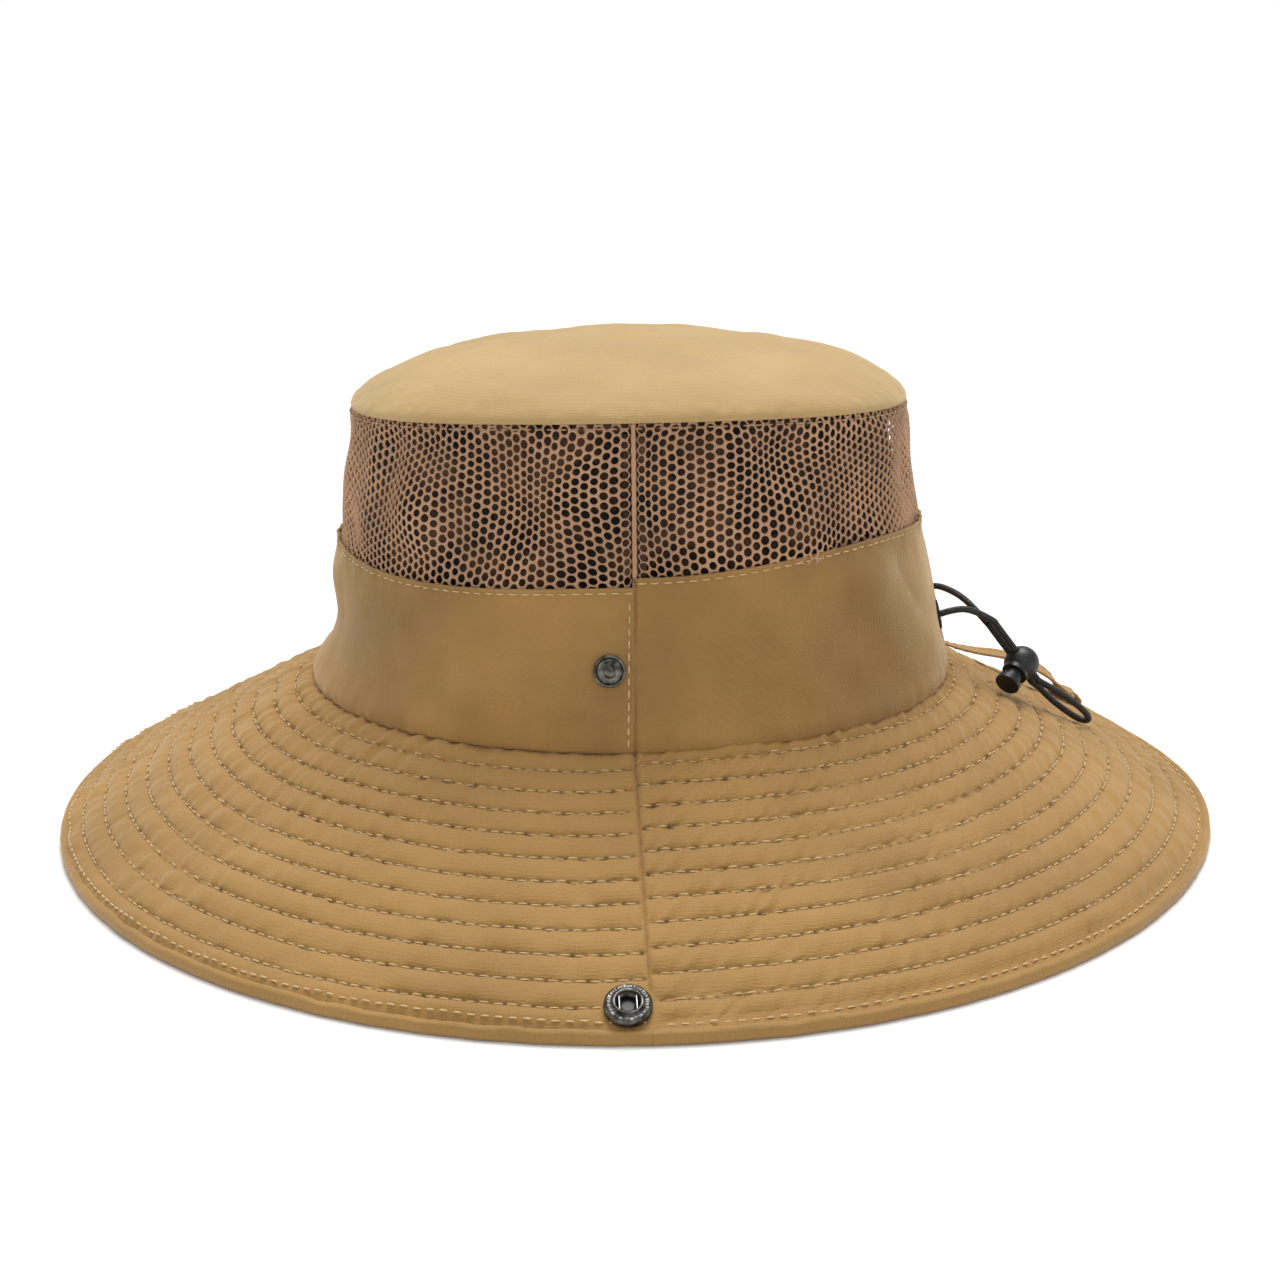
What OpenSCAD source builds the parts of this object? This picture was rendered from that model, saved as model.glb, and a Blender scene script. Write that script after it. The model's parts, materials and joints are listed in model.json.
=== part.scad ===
/* [Crown] */
// Inside length of the crown where it meets the brim, front to back
seam_l = 208; // [205:1:211]
// Width of the crown where it meets the brim
seam_w = 184; // [180:1:188]
// Height of the crown and brim seam above the table, at the front and the sides
seam_z = 43; // [40:1:46]
// How much lower that seam sits at the back
seam_dip = 2.5; // [0:0.5:3]
// Length of the crown at the top of the fabric band
band_l = 186; // [183:1:189]
// Width of the crown at the top of the fabric band
band_w = 163; // [160:1:166]
// Height of the top of the fabric band
band_z = 90; // [86:1:94]
// Length of the crown at the top of the mesh
tip_l = 174; // [171:1:177]
// Width of the crown at the top of the mesh
tip_w = 155; // [152:1:158]
// Height of the top of the mesh, where the tip starts
tip_z = 135; // [130:1:138]
// Height of the very top of the crown
top_z = 149.5; // [147:0.5:153]
// Thickness of the crown fabric and of the mesh
fabric_t = 0.8; // [0.6:0.1:1]

/* [Brim] */
// Length of the brim's outer edge, front to back
rim_l = 374; // [370:1:378]
// Width of the brim's outer edge, side to side
rim_w = 356; // [352:1:360]
// Thickness of the quilted brim
brim_t = 3; // [2.8:0.1:3.2]
// Width of the bound edge
binding_w = 2.6; // [2.2:0.1:3]

/* [Side folds] */
// Distance from the middle to the line where a side starts to bend
bend_start = 113; // [112:1:115]
// Distance from the middle to the line where a side stays flat
bend_end = 150; // [149:1:152]

/* [Snaps] */
// Distance of the snaps ahead of the middle
snap_y = 12; // [10:1:14]
// Height of the stud on the crown
stud_z = 66; // [64:1:68]
// Distance of the socket from the middle
socket_x = 170.5; // [169:0.5:171]
// Diameter of the socket
socket_d = 12; // [11.6:0.2:12.2]
// Diameter of the stud's flange
stud_d = 9.2; // [8.8:0.2:9.6]

/* [Drawcord] */
// Diameter of the elastic cord
cord_d = 2.2; // [2:0.1:2.3]
// Distance between the two eyelets at the back
eyelet_gap = 30; // [28:1:32]
// Height of the eyelets
eyelet_z = 59; // [58:1:60]
// Diameter of the cord lock's round body
lock_d = 11.5; // [11.5:0.1:12]

/* [Chin ties] */
// Width of the flat fabric ties
tie_w = 7.5; // [6:0.5:8]
// Thickness of the flat fabric ties
tie_t = 0.9; // [0.7:0.1:1]

/* [Hidden] */
$fn = 48;
tan_cloth = [0.76, 0.62, 0.38];
mesh_brown = [0.60, 0.46, 0.35];
gun_metal = [0.32, 0.31, 0.30];
cord_black = [0.08, 0.08, 0.09];
seam_shift = -1.8; // the crown's foot sits a little forward of the brim's middle
crown_shift = -1;
seam_a = seam_l / 2;
seam_b = seam_w / 2;
rim_a = rim_l / 2;
rim_b = rim_w / 2;
seam_phi = 2; // the side seams lie this many degrees ahead of the sides
gap = 0.1; // room between two layers that are sewn together
skin_t = 0.8; // top and under cloth of the brim
channel = 3.4; // room for the drawcord between the band and the sweatband
step = 6; // degrees between the columns of a panel

// ---- surfaces -------------------------------------------------------------

function mix(p, q, t) = p + (q - p) * t;
function unit(v) = v / norm(v);
// how far the rim lifts off the table where a chin tie passes under it
tie_phi = 110;
tie_lift = 1.6;
function rim_lift(phi) = tie_lift * bump(phi, tie_phi, 9);
function seam_height(phi) = seam_z - seam_dip * pow(max(0, sin(phi)), 2);
// a point of the crown's side, at height z, moved outwards by off
function crown_size(z) = let (
    low = (z - seam_z) / (band_z - seam_z), high = (z - band_z) / (tip_z - band_z)
  ) z < band_z ?
    [mix(seam_a, band_l / 2, low), mix(seam_b, band_w / 2, low), mix(seam_shift, crown_shift, low)] :
    [mix(band_l / 2, tip_l / 2, high), mix(band_w / 2, tip_w / 2, high), crown_shift];
function crown_point(phi, z, off) = let (size = crown_size(z))
  [(size[1] + off) * cos(phi), (size[0] + off) * sin(phi) + size[2], z];
// the soft rim is a little narrower and the brim sags on the far side, back and front
function bump(phi, middle, width) = exp(-pow((phi - middle) / width, 2));
function rim_pull(phi) = 1 - 0.068 * bump(phi, 110, 23) - 0.03 * bump(phi, 232, 25);
function sag(phi, s) = 2 * bump(phi, 120, 45) * 4 * s * (1 - s);
// a point of the brim's top, s = 0 at the crown and 1 at the rim, lowered by depth
function brim_point(phi, s, depth) = let (pull = mix(1, rim_pull(phi), s)) [
  pull * mix(seam_b, rim_b, s) * cos(phi),
  pull * (mix(seam_a, rim_a, s) * sin(phi) + seam_shift * (1 - s)),
  mix(seam_height(phi), brim_t, s) - sag(phi, s) + rim_lift(phi) * s - depth];
// where the brim reaches the distance x from the middle
function s_at(phi, x) = (x / max(0.01, abs(cos(phi))) - seam_b) / (rim_b - seam_b);
s_edge = 1 - binding_w / (rim_b - seam_b);
// where the brim's layers end, just inside the bound edge
function brim_reach(phi) = let (across = brim_point(phi, 1, 0) - brim_point(phi, 0, 0))
  norm([across[0], across[1]]);
function layer_edge(phi) = 1 - (binding_w + edge_room) / brim_reach(phi);
edge_room = 0.35;
function s_root(phi) = min(layer_edge(phi), s_at(phi, bend_start));
phi_bend = acos(bend_start / (seam_b + (rim_b - seam_b) * s_edge));
function range_to(a, b, n) = [for (i = [0:n]) mix(a, b, i / n)];
// the columns of a root panel, with one exactly at each corner of the side folds
front_columns = concat(range_to(180 + seam_phi, 180 + phi_bend, 8),
  [for (p = range_to(180 + phi_bend, 360 - phi_bend, 14)) if (p > 180 + phi_bend) p],
  [for (p = range_to(360 - phi_bend, 360 - seam_phi, 8)) if (p > 360 - phi_bend) p]);
rear_columns = concat(range_to(-seam_phi, phi_bend, 9),
  [for (p = range_to(phi_bend, 180 - phi_bend, 18)) if (p > phi_bend) p],
  [for (p = range_to(180 - phi_bend, 180 + seam_phi, 9)) if (p > 180 - phi_bend) p]);

// ---- panels ---------------------------------------------------------------

// faces of a grid of points, rows x cols, starting at point number first
function grid(rows, cols, first, wrap, flip) = [
  for (i = [0:rows - 2]) for (j = [0:cols - (wrap ? 1 : 2)]) let (
    a = first + i * cols + j, b = first + i * cols + (j + 1) % cols,
    c = b + cols, d = a + cols)
  each flip ? [[a, c, b], [a, d, c]] : [[a, b, c], [a, c, d]]];
// faces that join two lines of points into a strip
function strip(p, q, closed) = [for (k = [0:len(p) - (closed ? 1 : 2)]) let (m = (k + 1) % len(p))
  each [[p[k], q[m], q[k]], [p[k], p[m], q[m]]]];

// a closed sheet between an outer and an inner grid of points
module sheet(outer, inner, wrap = false) {
  rows = len(outer);
  cols = len(outer[0]);
  n = rows * cols;
  bottom = [for (j = [0:cols - 1]) j];
  top = [for (j = [0:cols - 1]) (rows - 1) * cols + j];
  left = [for (i = [0:rows - 1]) i * cols];
  right = [for (i = [0:rows - 1]) i * cols + cols - 1];
  rim = concat(
    strip(bottom, [for (k = bottom) k + n], wrap),
    strip([for (k = top) k + n], top, wrap),
    wrap ? [] : strip([for (k = left) k + n], left, false),
    wrap ? [] : strip(right, [for (k = right) k + n], false));
  polyhedron([for (row = outer) each row, for (row = inner) each row],
    concat(grid(rows, cols, 0, wrap, true), grid(rows, cols, n, wrap, false), rim),
    convexity = 8);
}

// a piece of the crown's side between two heights, the lower one following the brim seam
module crown_panel(columns, z0, z1, off, thick, rows = 3, wrap = false) {
  function grid_at(o) = [for (i = [0:rows]) [for (p = columns) let (
      low = z0 < seam_z + 2 ? seam_height(p) + z0 - seam_z : z0)
    crown_point(p, mix(low, z1, i / rows), o)]];
  sheet(grid_at(off), grid_at(off - thick), wrap);
}

// a piece of the brim between two lines, from depth d0 to depth d1 under the top
module brim_panel(columns, d0, d1, rows, low, high) {
  function grid_at(d) = [for (i = [0:rows]) [for (k = [0:len(columns) - 1])
    brim_point(columns[k], mix(low[k], high[k], i / rows), d)]];
  sheet(grid_at(d1), grid_at(d0));
}

module root_panel(columns, d0, d1) {
  brim_panel(columns, d0, d1, 4, [for (p = columns) 0], [for (p = columns) s_root(p)]);
}

// the flat side of the brim, right or left of the bend
side_phi = acos(bend_end / (seam_b + (rim_b - seam_b) * s_edge)) - 1;
module side_panel(side, d0, d1) {
  columns = range_to(middle_of(side) - side_phi, middle_of(side) + side_phi, 12);
  brim_panel(columns, d0, d1, 2,
    [for (p = columns) s_at(p, bend_end)], [for (p = columns) layer_edge(p)]);
}
function middle_of(side) = side > 0 ? 0 : 180;

fold_columns = concat(range_to(-phi_bend + 1, -side_phi - 1, 3),
  range_to(-side_phi + 1, side_phi - 1, 10), range_to(side_phi + 1, phi_bend - 1, 3));
module fold_zone(side) {
  columns = [for (p = fold_columns) p + middle_of(side)];
  low = [for (p = columns) s_at(p, bend_start + 0.4)];
  high = [for (p = columns) min(1, s_at(p, bend_end - 0.4))];
  brim_panel(columns, 0, brim_t - 0.1, 3, low, high);
}

// the bound edge, a bar with a flat foot that the hat stands on
binding_section = [[0.3, 0], [1.8, 0], [binding_w - gap, 1.1], [binding_w - gap, 1.1 + brim_t],
  [0.6, brim_t + 0.3], [0, brim_t - 0.4], [0, 0.5]];
function binding_point(phi, section) = let (out = [cos(phi) / rim_b, sin(phi) / rim_a])
  rim_pull(phi) * [rim_b * cos(phi), rim_a * sin(phi), 0] + [0, 0, rim_lift(phi) + section[1]]
  - section[0] * [each out / norm(out), 0];
module binding(columns) {
  n = len(binding_section);
  last = (len(columns) - 1) * n;
  polyhedron([for (p = columns) for (c = binding_section) binding_point(p, c)],
    concat(grid(len(columns), n, 0, true, true),
      [for (k = [1:n - 2]) [0, k, k + 1]], [for (k = [1:n - 2]) [last, last + k + 1, last + k]]),
    convexity = 6);
}

module mirrored(side) {
  if (side > 0) children();
  else mirror([1, 0, 0]) children();
}

// ---- tubes and ties -------------------------------------------------------

// a smooth line through the given points
function spline_at(p, i, t) = let (n = len(p) - 1, a = p[max(0, i - 1)], b = p[i],
    c = p[i + 1], d = p[min(n, i + 2)])
  0.5 * (2 * b + (c - a) * t + (2 * a - 5 * b + 4 * c - d) * t * t
    + (3 * b - a - 3 * c + d) * t * t * t);
function spline(p, n) = concat([for (i = [0:len(p) - 2]) for (k = [0:n - 1])
  spline_at(p, i, k / n)], [p[len(p) - 1]]);
function tangent(p, i) = unit(p[min(len(p) - 1, i + 1)] - p[max(0, i - 1)]);

// sweeps an outline along a route; hints says which way the outline's second axis points
module sweep(route, hints, outline) {
  n = len(outline);
  last = (len(route) - 1) * n;
  points = [for (i = [0:len(route) - 1]) let (
      t = tangent(route, i), side = unit(cross(hints[i], t)), up = cross(t, side))
    for (c = outline) route[i] + side * c[0] + up * c[1]];
  polyhedron(points, concat(grid(len(route), n, 0, true, false),
    [for (k = [1:n - 2]) [0, k + 1, k]], [for (k = [1:n - 2]) [last, last + k, last + k + 1]]),
    convexity = 6);
}
function round_outline(d) = [for (k = [0:7]) d / 2 * [cos(k * 45), sin(k * 45)]];
function flat_outline(w, t) = [[-w / 2, -t / 2], [w / 2, -t / 2], [w / 2, t / 2], [-w / 2, t / 2]];

// ---- places of the snaps, eyelets and cord lock ----------------------------

brim_slope = atan((seam_z - brim_t) / (rim_b - seam_b));
wall_slope = atan((seam_w - band_w) / 2 / (band_z - seam_z));
socket_s = (socket_x - seam_b) / (rim_b - seam_b);
socket_pos = [socket_x, -snap_y, mix(seam_z, brim_t, socket_s)];
stud_size = crown_size(stud_z);
stud_pos = [stud_size[1] * sqrt(1 - pow((snap_y + stud_size[2]) / stud_size[0], 2)), -snap_y, stud_z];
socket_h = 3.4;
flange_t = 1;
post_h = 2.6;
mate_gap = 0.4;
// the fold turns the socket's mouth onto the stud's flange
mouth = [socket_pos[0] + socket_h * sin(brim_slope), socket_pos[2] + socket_h * cos(brim_slope)];
seat = [stud_pos[0] + (flange_t + mate_gap) * cos(wall_slope),
  stud_pos[2] + (flange_t + mate_gap) * sin(wall_slope)];
fold_angle = 90 + wall_slope + brim_slope;
chord = seat - mouth;
fold_centre = (seat + mouth) / 2 + [-chord[1], chord[0]] / 2 / tan(fold_angle / 2);
echo(fold_angle = fold_angle, fold_x = fold_centre[0], fold_z = fold_centre[1]);

module at_stud(side) mirrored(side) translate(stud_pos) rotate([0, 90 - wall_slope, 0]) children();
module at_socket(side) mirrored(side) translate(socket_pos) rotate([0, brim_slope, 0]) children();

eyelet_slope = atan((seam_l - band_l) / 2 / (band_z - seam_z));
eyelet_size = crown_size(eyelet_z);
eyelet_x = eyelet_gap / 2;
eyelet_y = eyelet_size[0] * sqrt(1 - pow(eyelet_x / eyelet_size[1], 2)) + eyelet_size[2];
eyelet_turn = 11; // the wall turns away from straight back by this much at an eyelet
module at_eyelet(side) mirrored(side) translate([eyelet_x, eyelet_y, eyelet_z])
  rotate([-90 + eyelet_slope, 0, -eyelet_turn]) children();

// the cord lock slides along this line, on the two straight strands
lock_pos = [11, 127.2, 40.2];
cord_dir = unit([0, 13, -17]);
plunger_turn = 50;
lock_half = lock_d / 2;
strand = 1.5; // half the distance between the two strands
// Z along the cords towards the loop, X along the plunger, Y across both strands
module at_lock() {
  across = unit(cross(cord_dir, plunger_dir));
  multmatrix([[plunger_dir[0], across[0], cord_dir[0], lock_pos[0]],
    [plunger_dir[1], across[1], cord_dir[1], lock_pos[1]],
    [plunger_dir[2], across[2], cord_dir[2], lock_pos[2]], [0, 0, 0, 1]]) children();
}
plunger_dir = [cos(plunger_turn), 0, 0] + sin(plunger_turn) * cross(cord_dir, [1, 0, 0]);
strand_dir = unit(cross(cord_dir, plunger_dir));
press = 2; // travel of the plunger

// ---- crown ------------------------------------------------------------------

ring = [for (p = [0:step:359]) p];
front_ring = range_to(180 + seam_phi, 360 - seam_phi, 28);
rear_ring = range_to(-seam_phi, 180 + seam_phi, 32);

module crown_tip() {
  rounds = 7;
  function dome(off) = [for (i = [0:rounds]) let (r = 1 - i / (rounds + 0.6),
      z = tip_z + 0.3 + (top_z - tip_z - 0.3) * (1 - pow(r, 2.6)))
    [for (p = ring) [(tip_w / 2) * r * cos(p), (tip_l / 2) * r * sin(p) + crown_shift, z - off]]];
  outer = dome(0);
  inner = dome(fabric_t);
  cols = len(ring);
  n = (rounds + 1) * cols;
  crest = [0, crown_shift, top_z];
  last = rounds * cols;
  fan = [for (j = [0:cols - 1]) let (k = (j + 1) % cols)
    each [[last + j, 2 * n, last + k], [n + last + j, n + last + k, 2 * n + 1]]];
  base = [for (j = [0:cols - 1]) j];
  color(tan_cloth) polyhedron(
    concat([for (row = outer) each row], [for (row = inner) each row], [crest, crest - [0, 0, fabric_t]]),
    concat(grid(rounds + 1, cols, 0, true, true), grid(rounds + 1, cols, n, true, false), fan,
      strip(base, [for (k = base) k + n], true)), convexity = 6);
}

mesh_top = tip_z - 0.6; // under the tip's inner face
tape_gap = 0.35;
module tip_seam_tape() color(tan_cloth)
  crown_panel(ring, tip_z - 3.4, tip_z - 0.6, -fabric_t - tape_gap, 0.5, 1, true);

module mesh_front() color(mesh_brown)
  crown_panel(front_ring, band_z + gap, mesh_top, 0, fabric_t, 2);

module mesh_rear() color(mesh_brown) crown_panel(
  range_to(-seam_phi + 0.1, 180 + seam_phi - 0.1, 32), band_z + gap, mesh_top, 0, fabric_t, 2);

// a narrow tape that covers a side seam on the inside
module side_tape(side, z0, z1) {
  middle = side > 0 ? -seam_phi : 180 + seam_phi;
  color(tan_cloth) crown_panel(range_to(middle - 3, middle + 3, 2), z0, z1, -fabric_t - tape_gap, 0.4, 2);
}
module mesh_seam_tape_left() side_tape(1, band_z + 1, tip_z - 4);
module mesh_seam_tape_right() side_tape(-1, band_z + 1, tip_z - 4);
module band_seam_tape_left() side_tape(1, stud_z + 8, band_z - 4);
module band_seam_tape_right() side_tape(-1, stud_z + 8, band_z - 4);

post_r = 1.6;
module stud_hole() translate([0, 0, -3]) cylinder(r = post_r + 0.1, h = 6);
barrel_r = 3;
module eyelet_hole() translate([0, 0, -4]) cylinder(r = barrel_r + 0.1, h = 8);

module band_front() color(tan_cloth) difference() {
  crown_panel(front_ring, seam_z + 0.3, band_z, 0, fabric_t);
  at_stud(1) stud_hole();
  at_stud(-1) stud_hole();
}

module band_rear() color(tan_cloth) difference() {
  crown_panel(range_to(-seam_phi + 0.1, 180 + seam_phi - 0.1, 32), seam_z + 0.3, band_z, 0, fabric_t);
  at_eyelet(1) eyelet_hole();
  at_eyelet(-1) eyelet_hole();
}

module sweatband() color(mesh_brown)
  crown_panel(ring, seam_z + 0.5, seam_z + 32, -fabric_t - channel, 0.9, 2, true);

// ---- brim -------------------------------------------------------------------

core_d0 = skin_t + gap;
core_d1 = brim_t - skin_t - gap;
module brim_top_front() color(tan_cloth) root_panel(front_columns, 0, skin_t);
module brim_top_rear() color(tan_cloth) root_panel([for (p = rear_columns) mix(90, p, 0.9985)], 0, skin_t);
module brim_core() color("gainsboro") {
  root_panel(front_columns, core_d0, core_d1);
  root_panel([for (p = rear_columns) mix(90, p, 0.9985)], core_d0, core_d1);
}
module brim_under_front() color(tan_cloth) root_panel(front_columns, brim_t - skin_t, brim_t - 0.05);
module brim_under_rear() color(tan_cloth)
  root_panel([for (p = rear_columns) mix(90, p, 0.9985)], brim_t - skin_t, brim_t - 0.05);

rim_bend = acos(bend_start / rim_b);
module edge_binding() color(tan_cloth) {
  binding(range_to(180 + rim_bend + 0.1, 360 - rim_bend - 0.1, 18));
  binding(range_to(rim_bend + 0.1, 180 - rim_bend - 0.1, 24));
}

module fold_zone_left() color(tan_cloth) fold_zone(1);
module fold_zone_right() color(tan_cloth) fold_zone(-1);

rivet_r = 2;
module rivet_hole() translate([0, 0, -5]) cylinder(r = rivet_r + 0.1, h = 8);
module side_layer(side, d0, d1) difference() {
  side_panel(side, d0, d1);
  at_socket(side) rivet_hole();
}
module side_top_left() color(tan_cloth) side_layer(1, 0, skin_t);
module side_top_right() color(tan_cloth) side_layer(-1, 0, skin_t);
module side_core_left() color("gainsboro") side_layer(1, core_d0, core_d1);
module side_core_right() color("gainsboro") side_layer(-1, core_d0, core_d1);
module side_under_left() color(tan_cloth) side_layer(1, brim_t - skin_t, brim_t - 0.05);
module side_under_right() color(tan_cloth) side_layer(-1, brim_t - skin_t, brim_t - 0.05);
rim_side = acos(bend_end / rim_b) - 1;
module side_binding(side) color(tan_cloth)
  binding(range_to(middle_of(side) - rim_side, middle_of(side) + rim_side, 12));
module side_binding_left() side_binding(1);
module side_binding_right() side_binding(-1);

// ---- snaps ------------------------------------------------------------------

// the stud: a flange with a raised rim and a round-headed post, riveted through the band
module stud(side) color(gun_metal) at_stud(side) rotate_extrude() polygon([
  [0, -2.6], [post_r, -2.6], [post_r, 0.55], [stud_d / 2, 0.55], [stud_d / 2, flange_t],
  [stud_d / 2 - 0.8, flange_t], [stud_d / 2 - 1.2, 0.75], [post_r, 0.75], [1.2, 1.6],
  [1.2, 2], [post_r, 2.6], [post_r, 3], [1, post_h + 0.8], [0, post_h + 0.8]]);
module stud_left() stud(1);
module stud_right() stud(-1);

// the plain ring on the inside that the stud's rivet is closed over
module stud_back(side) color(gun_metal) at_stud(side) rotate_extrude() polygon([
  [post_r + 0.05, -1.45], [stud_d / 2, -1.45], [stud_d / 2, -1.8], [post_r + 0.9, -2.4],
  [post_r + 0.05, -2.4]]);
module stud_back_left() stud_back(1);
module stud_back_right() stud_back(-1);

hole_r = 3;
groove_r = 4.2;
// the socket: a ring with a deep hole and a groove for its two springs
module socket(side) color(gun_metal) at_socket(side) rotate_extrude() polygon([
  [rivet_r + 0.1, 0.15], [socket_d / 2, 0.15], [socket_d / 2, 2.2], [socket_d / 2 - 0.7, socket_h],
  [hole_r, socket_h], [hole_r, 2.9], [groove_r, 2.9], [groove_r, 1.9], [hole_r, 1.9],
  [hole_r, 0.9], [rivet_r + 0.1, 0.9]]);
module socket_left() socket(1);
module socket_right() socket(-1);

// two straight spring wires that grip the stud's neck
module socket_spring(side) color("silver") at_socket(side) for (y = [-1, 1])
  translate([-3.3, y * 2.15, 2.4]) rotate([0, 90, 0]) cylinder(r = 0.35, h = 6.6);
module socket_spring_left() socket_spring(1);
module socket_spring_right() socket_spring(-1);

// the cap under the brim, whose hollow rivet holds the socket
module socket_cap(side) color(gun_metal) at_socket(side) rotate_extrude() polygon([
  [0, -4.1], [socket_d / 2 - 2.5, -4.1], [socket_d / 2 - 2, -3.6], [socket_d / 2 - 2, -3.2],
  [rivet_r, -3.2], [rivet_r, 0.8], [0, 0.8]]);
module socket_cap_left() socket_cap(1);
module socket_cap_right() socket_cap(-1);

// ---- drawcord ---------------------------------------------------------------

// a rolled metal eyelet with a flange on each side of the band
module eyelet(side) color(cord_black) at_eyelet(side) rotate_extrude() polygon([
  [barrel_r - 0.7, -1.6], [barrel_r + 1.6, -1.6], [barrel_r + 1.6, -1.2], [barrel_r, -1.2],
  [barrel_r, 0.35], [barrel_r + 1.9, 0.35], [barrel_r + 1.6, 0.9], [barrel_r, 1.1],
  [barrel_r - 0.7, 0.8]]);
module eyelet_left() eyelet(1);
module eyelet_right() eyelet(-1);

// the hidden run round the head, in the channel behind the sweatband
channel_columns = range_to(99.5, 440.5, 62);
module drawcord_channel() color(cord_black) {
  route = [for (p = channel_columns) crown_point(p, eyelet_z, -fabric_t - channel / 2)];
  sweep(route, [for (p = route) [0, 0, 1]], round_outline(cord_d));
}

// the free loop, out of one eyelet, through the lock and back into the other
lock_in = lock_pos - 16 * cord_dir;
left_strand = [[14.2, 94.6, 59], [15, 97.5, 59], [15.6, 101.5, 60.2], [15.4, 106, 60.6],
  [14, 111, 58.8]];
right_strand = [[-14.2, 94.6, 59], [-15, 97.5, 59], [-14.4, 101.2, 60.4], [-8.5, 104.8, 61.4],
  [1.5, 109.5, 60]];
loop_turn = [[9.4, 134.2, 30.9], [8.8, 138.5, 26.6], [8.6, 143.5, 22.6], [9, 148.2, 19.5],
  [10.4, 150.8, 19.3], [12.2, 150.2, 21.6], [13.2, 146.5, 25.4], [13.4, 141.5, 29.2],
  [12.9, 137, 32]];
function strand_line(side) = [for (t = [0, 2, 22, 24]) lock_in + t * cord_dir
  + side * strand * strand_dir];
loop_route = concat(right_strand, strand_line(1), loop_turn,
  [for (k = [3:-1:0]) strand_line(-1)[k]], [for (k = [4:-1:0]) left_strand[k]]);
module drawcord_loop() color(cord_black) {
  route = spline(loop_route, 3);
  sweep(route, [for (p = route) [0.15, 0.2, 1]], round_outline(cord_d));
}

bore_r = cord_d / 2 + 0.25;
module lock_bores(from, to) for (y = [-strand, strand]) translate([0, y, from])
  cylinder(r = bore_r, h = to - from);
well_r = 3.1;
well_depth = 4.2;
stem_depth = well_depth - press - 0.1;
button_gap = 3; // from the round body to the button
button_r = 4.1;
module lock_body() color(cord_black) at_lock() difference() {
  rotate([0, 90, 0]) union() {
    sphere(d = lock_d);
    cylinder(r = well_r + 1.2, h = lock_half - 0.4);
  }
  lock_bores(-lock_d, lock_d);
  translate([-well_depth, 0, 0]) rotate([0, 90, 0]) cylinder(r = well_r, h = lock_d);
}

// the plunger: a stem with a slot for the cords and a flared button
module lock_plunger() color(cord_black) at_lock() difference() {
  union() {
    translate([-stem_depth, 0, 0]) rotate([0, 90, 0])
      cylinder(r = well_r - 0.15, h = stem_depth + lock_half + button_gap);
    translate([lock_half + button_gap - 0.9, 0, 0]) rotate([0, 90, 0])
      cylinder(r1 = well_r - 0.15, r2 = button_r, h = 0.9);
    translate([lock_half + button_gap, 0, 0]) rotate([0, 90, 0]) cylinder(r = button_r, h = 1.8);
  }
  for (y = [-strand, strand]) translate([0, y, -lock_d]) hull() {
    translate([0.1, 0, 0]) cylinder(r = bore_r, h = 2 * lock_d);
    translate([press, 0, 0]) cylinder(r = bore_r, h = 2 * lock_d);
  }
}

// the spring behind the plunger, at the foot of the well
module lock_spring() color("silver") at_lock() translate([-well_depth + 0.1, 0, 0])
  rotate([0, 90, 0]) difference() {
    cylinder(r = 2.2, h = press - 0.2);
    translate([0, 0, -1]) cylinder(r = 1.6, h = 4);
  }

// ---- chin ties --------------------------------------------------------------

// left tie: down inside the crown, then along the table under the brim
left_tie = [[88.3, -8, 47], [88.5, -8, 42], [89, -7.5, 30], [90.5, -4, 16], [93, 4, 6],
  [97, 18, 1.2], [97, 38, 0.5], [90, 60, 0.5], [77, 80, 0.5], [58, 96, 0.5], [34, 108, 0.5],
  [8, 113, 0.5], [-16, 111, 0.5]];
left_hints = [[-1, 0, 0], [-1, 0, 0], [-1, 0, 0], [-1, 0, 0.4], [-1, 0, 1], [-0.2, 0, 1],
  [0, 0, 1], [0, 0, 1], [0, 0, 1], [0, 0, 1], [0, 0, 1], [0, 0, 1], [0, 0, 1]];
module tie(points, hints) color(tan_cloth)
  sweep(spline(points, 3), spline(hints, 3), flat_outline(tie_w, tie_t));
module chin_tie_left() tie(left_tie, left_hints);

// right tie: out under the rim at the back, up over it and forward along the top of the brim
right_tie = [[-88.3, -8, 47], [-88.5, -8, 42], [-89, -7.5, 30], [-90.5, -4, 16], [-93, 4, 6],
  [-95, 20, 1.2], [-93, 50, 0.5], [-84, 84, 0.5], [-70, 118, 0.5], [-60, 144, 0.5],
  [-57, 156, 0.6], [-56.8, 164.8, 0.6], [-56.6, 169.2, 3.2], [-56, 165.6, 7.1], [-52.5, 159.5, 8.7],
  [-46, 158, 10], [-38, 158, 12.3], [-31, 154, 17], [-29.5, 148.5, 22.8], [-30, 141, 27.2],
  [-30.5, 132, 30.2], [-30.5, 122, 32], [-31.5, 112.5, 34.4], [-38, 105, 36.9], [-52, 97.5, 37],
  [-64, 89.5, 36.9]];
right_hints = [[1, 0, 0], [1, 0, 0], [1, 0, 0], [1, 0, 0.4], [1, 0, 1], [0.2, 0, 1], [0, 0, 1],
  [0, 0, 1], [0, 0, 1], [0, 0, 1], [0, -0.2, 1], [0, -0.6, 1], [0, -1, 0], [0, -0.5, -1],
  [0, -0.4, -1], [0.1, -0.4, -1], [0.1, -0.5, -1], [0, -0.5, -1], [-0.2, -0.5, -1],
  [-0.2, -0.4, -1], [-0.1, -0.4, -1], [0, -0.4, -1], [0.1, -0.4, -1], [0.15, -0.4, -1],
  [0.25, -0.4, -1], [0.3, -0.35, -1]];
module chin_tie_right() tie(right_tie, right_hints);

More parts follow.
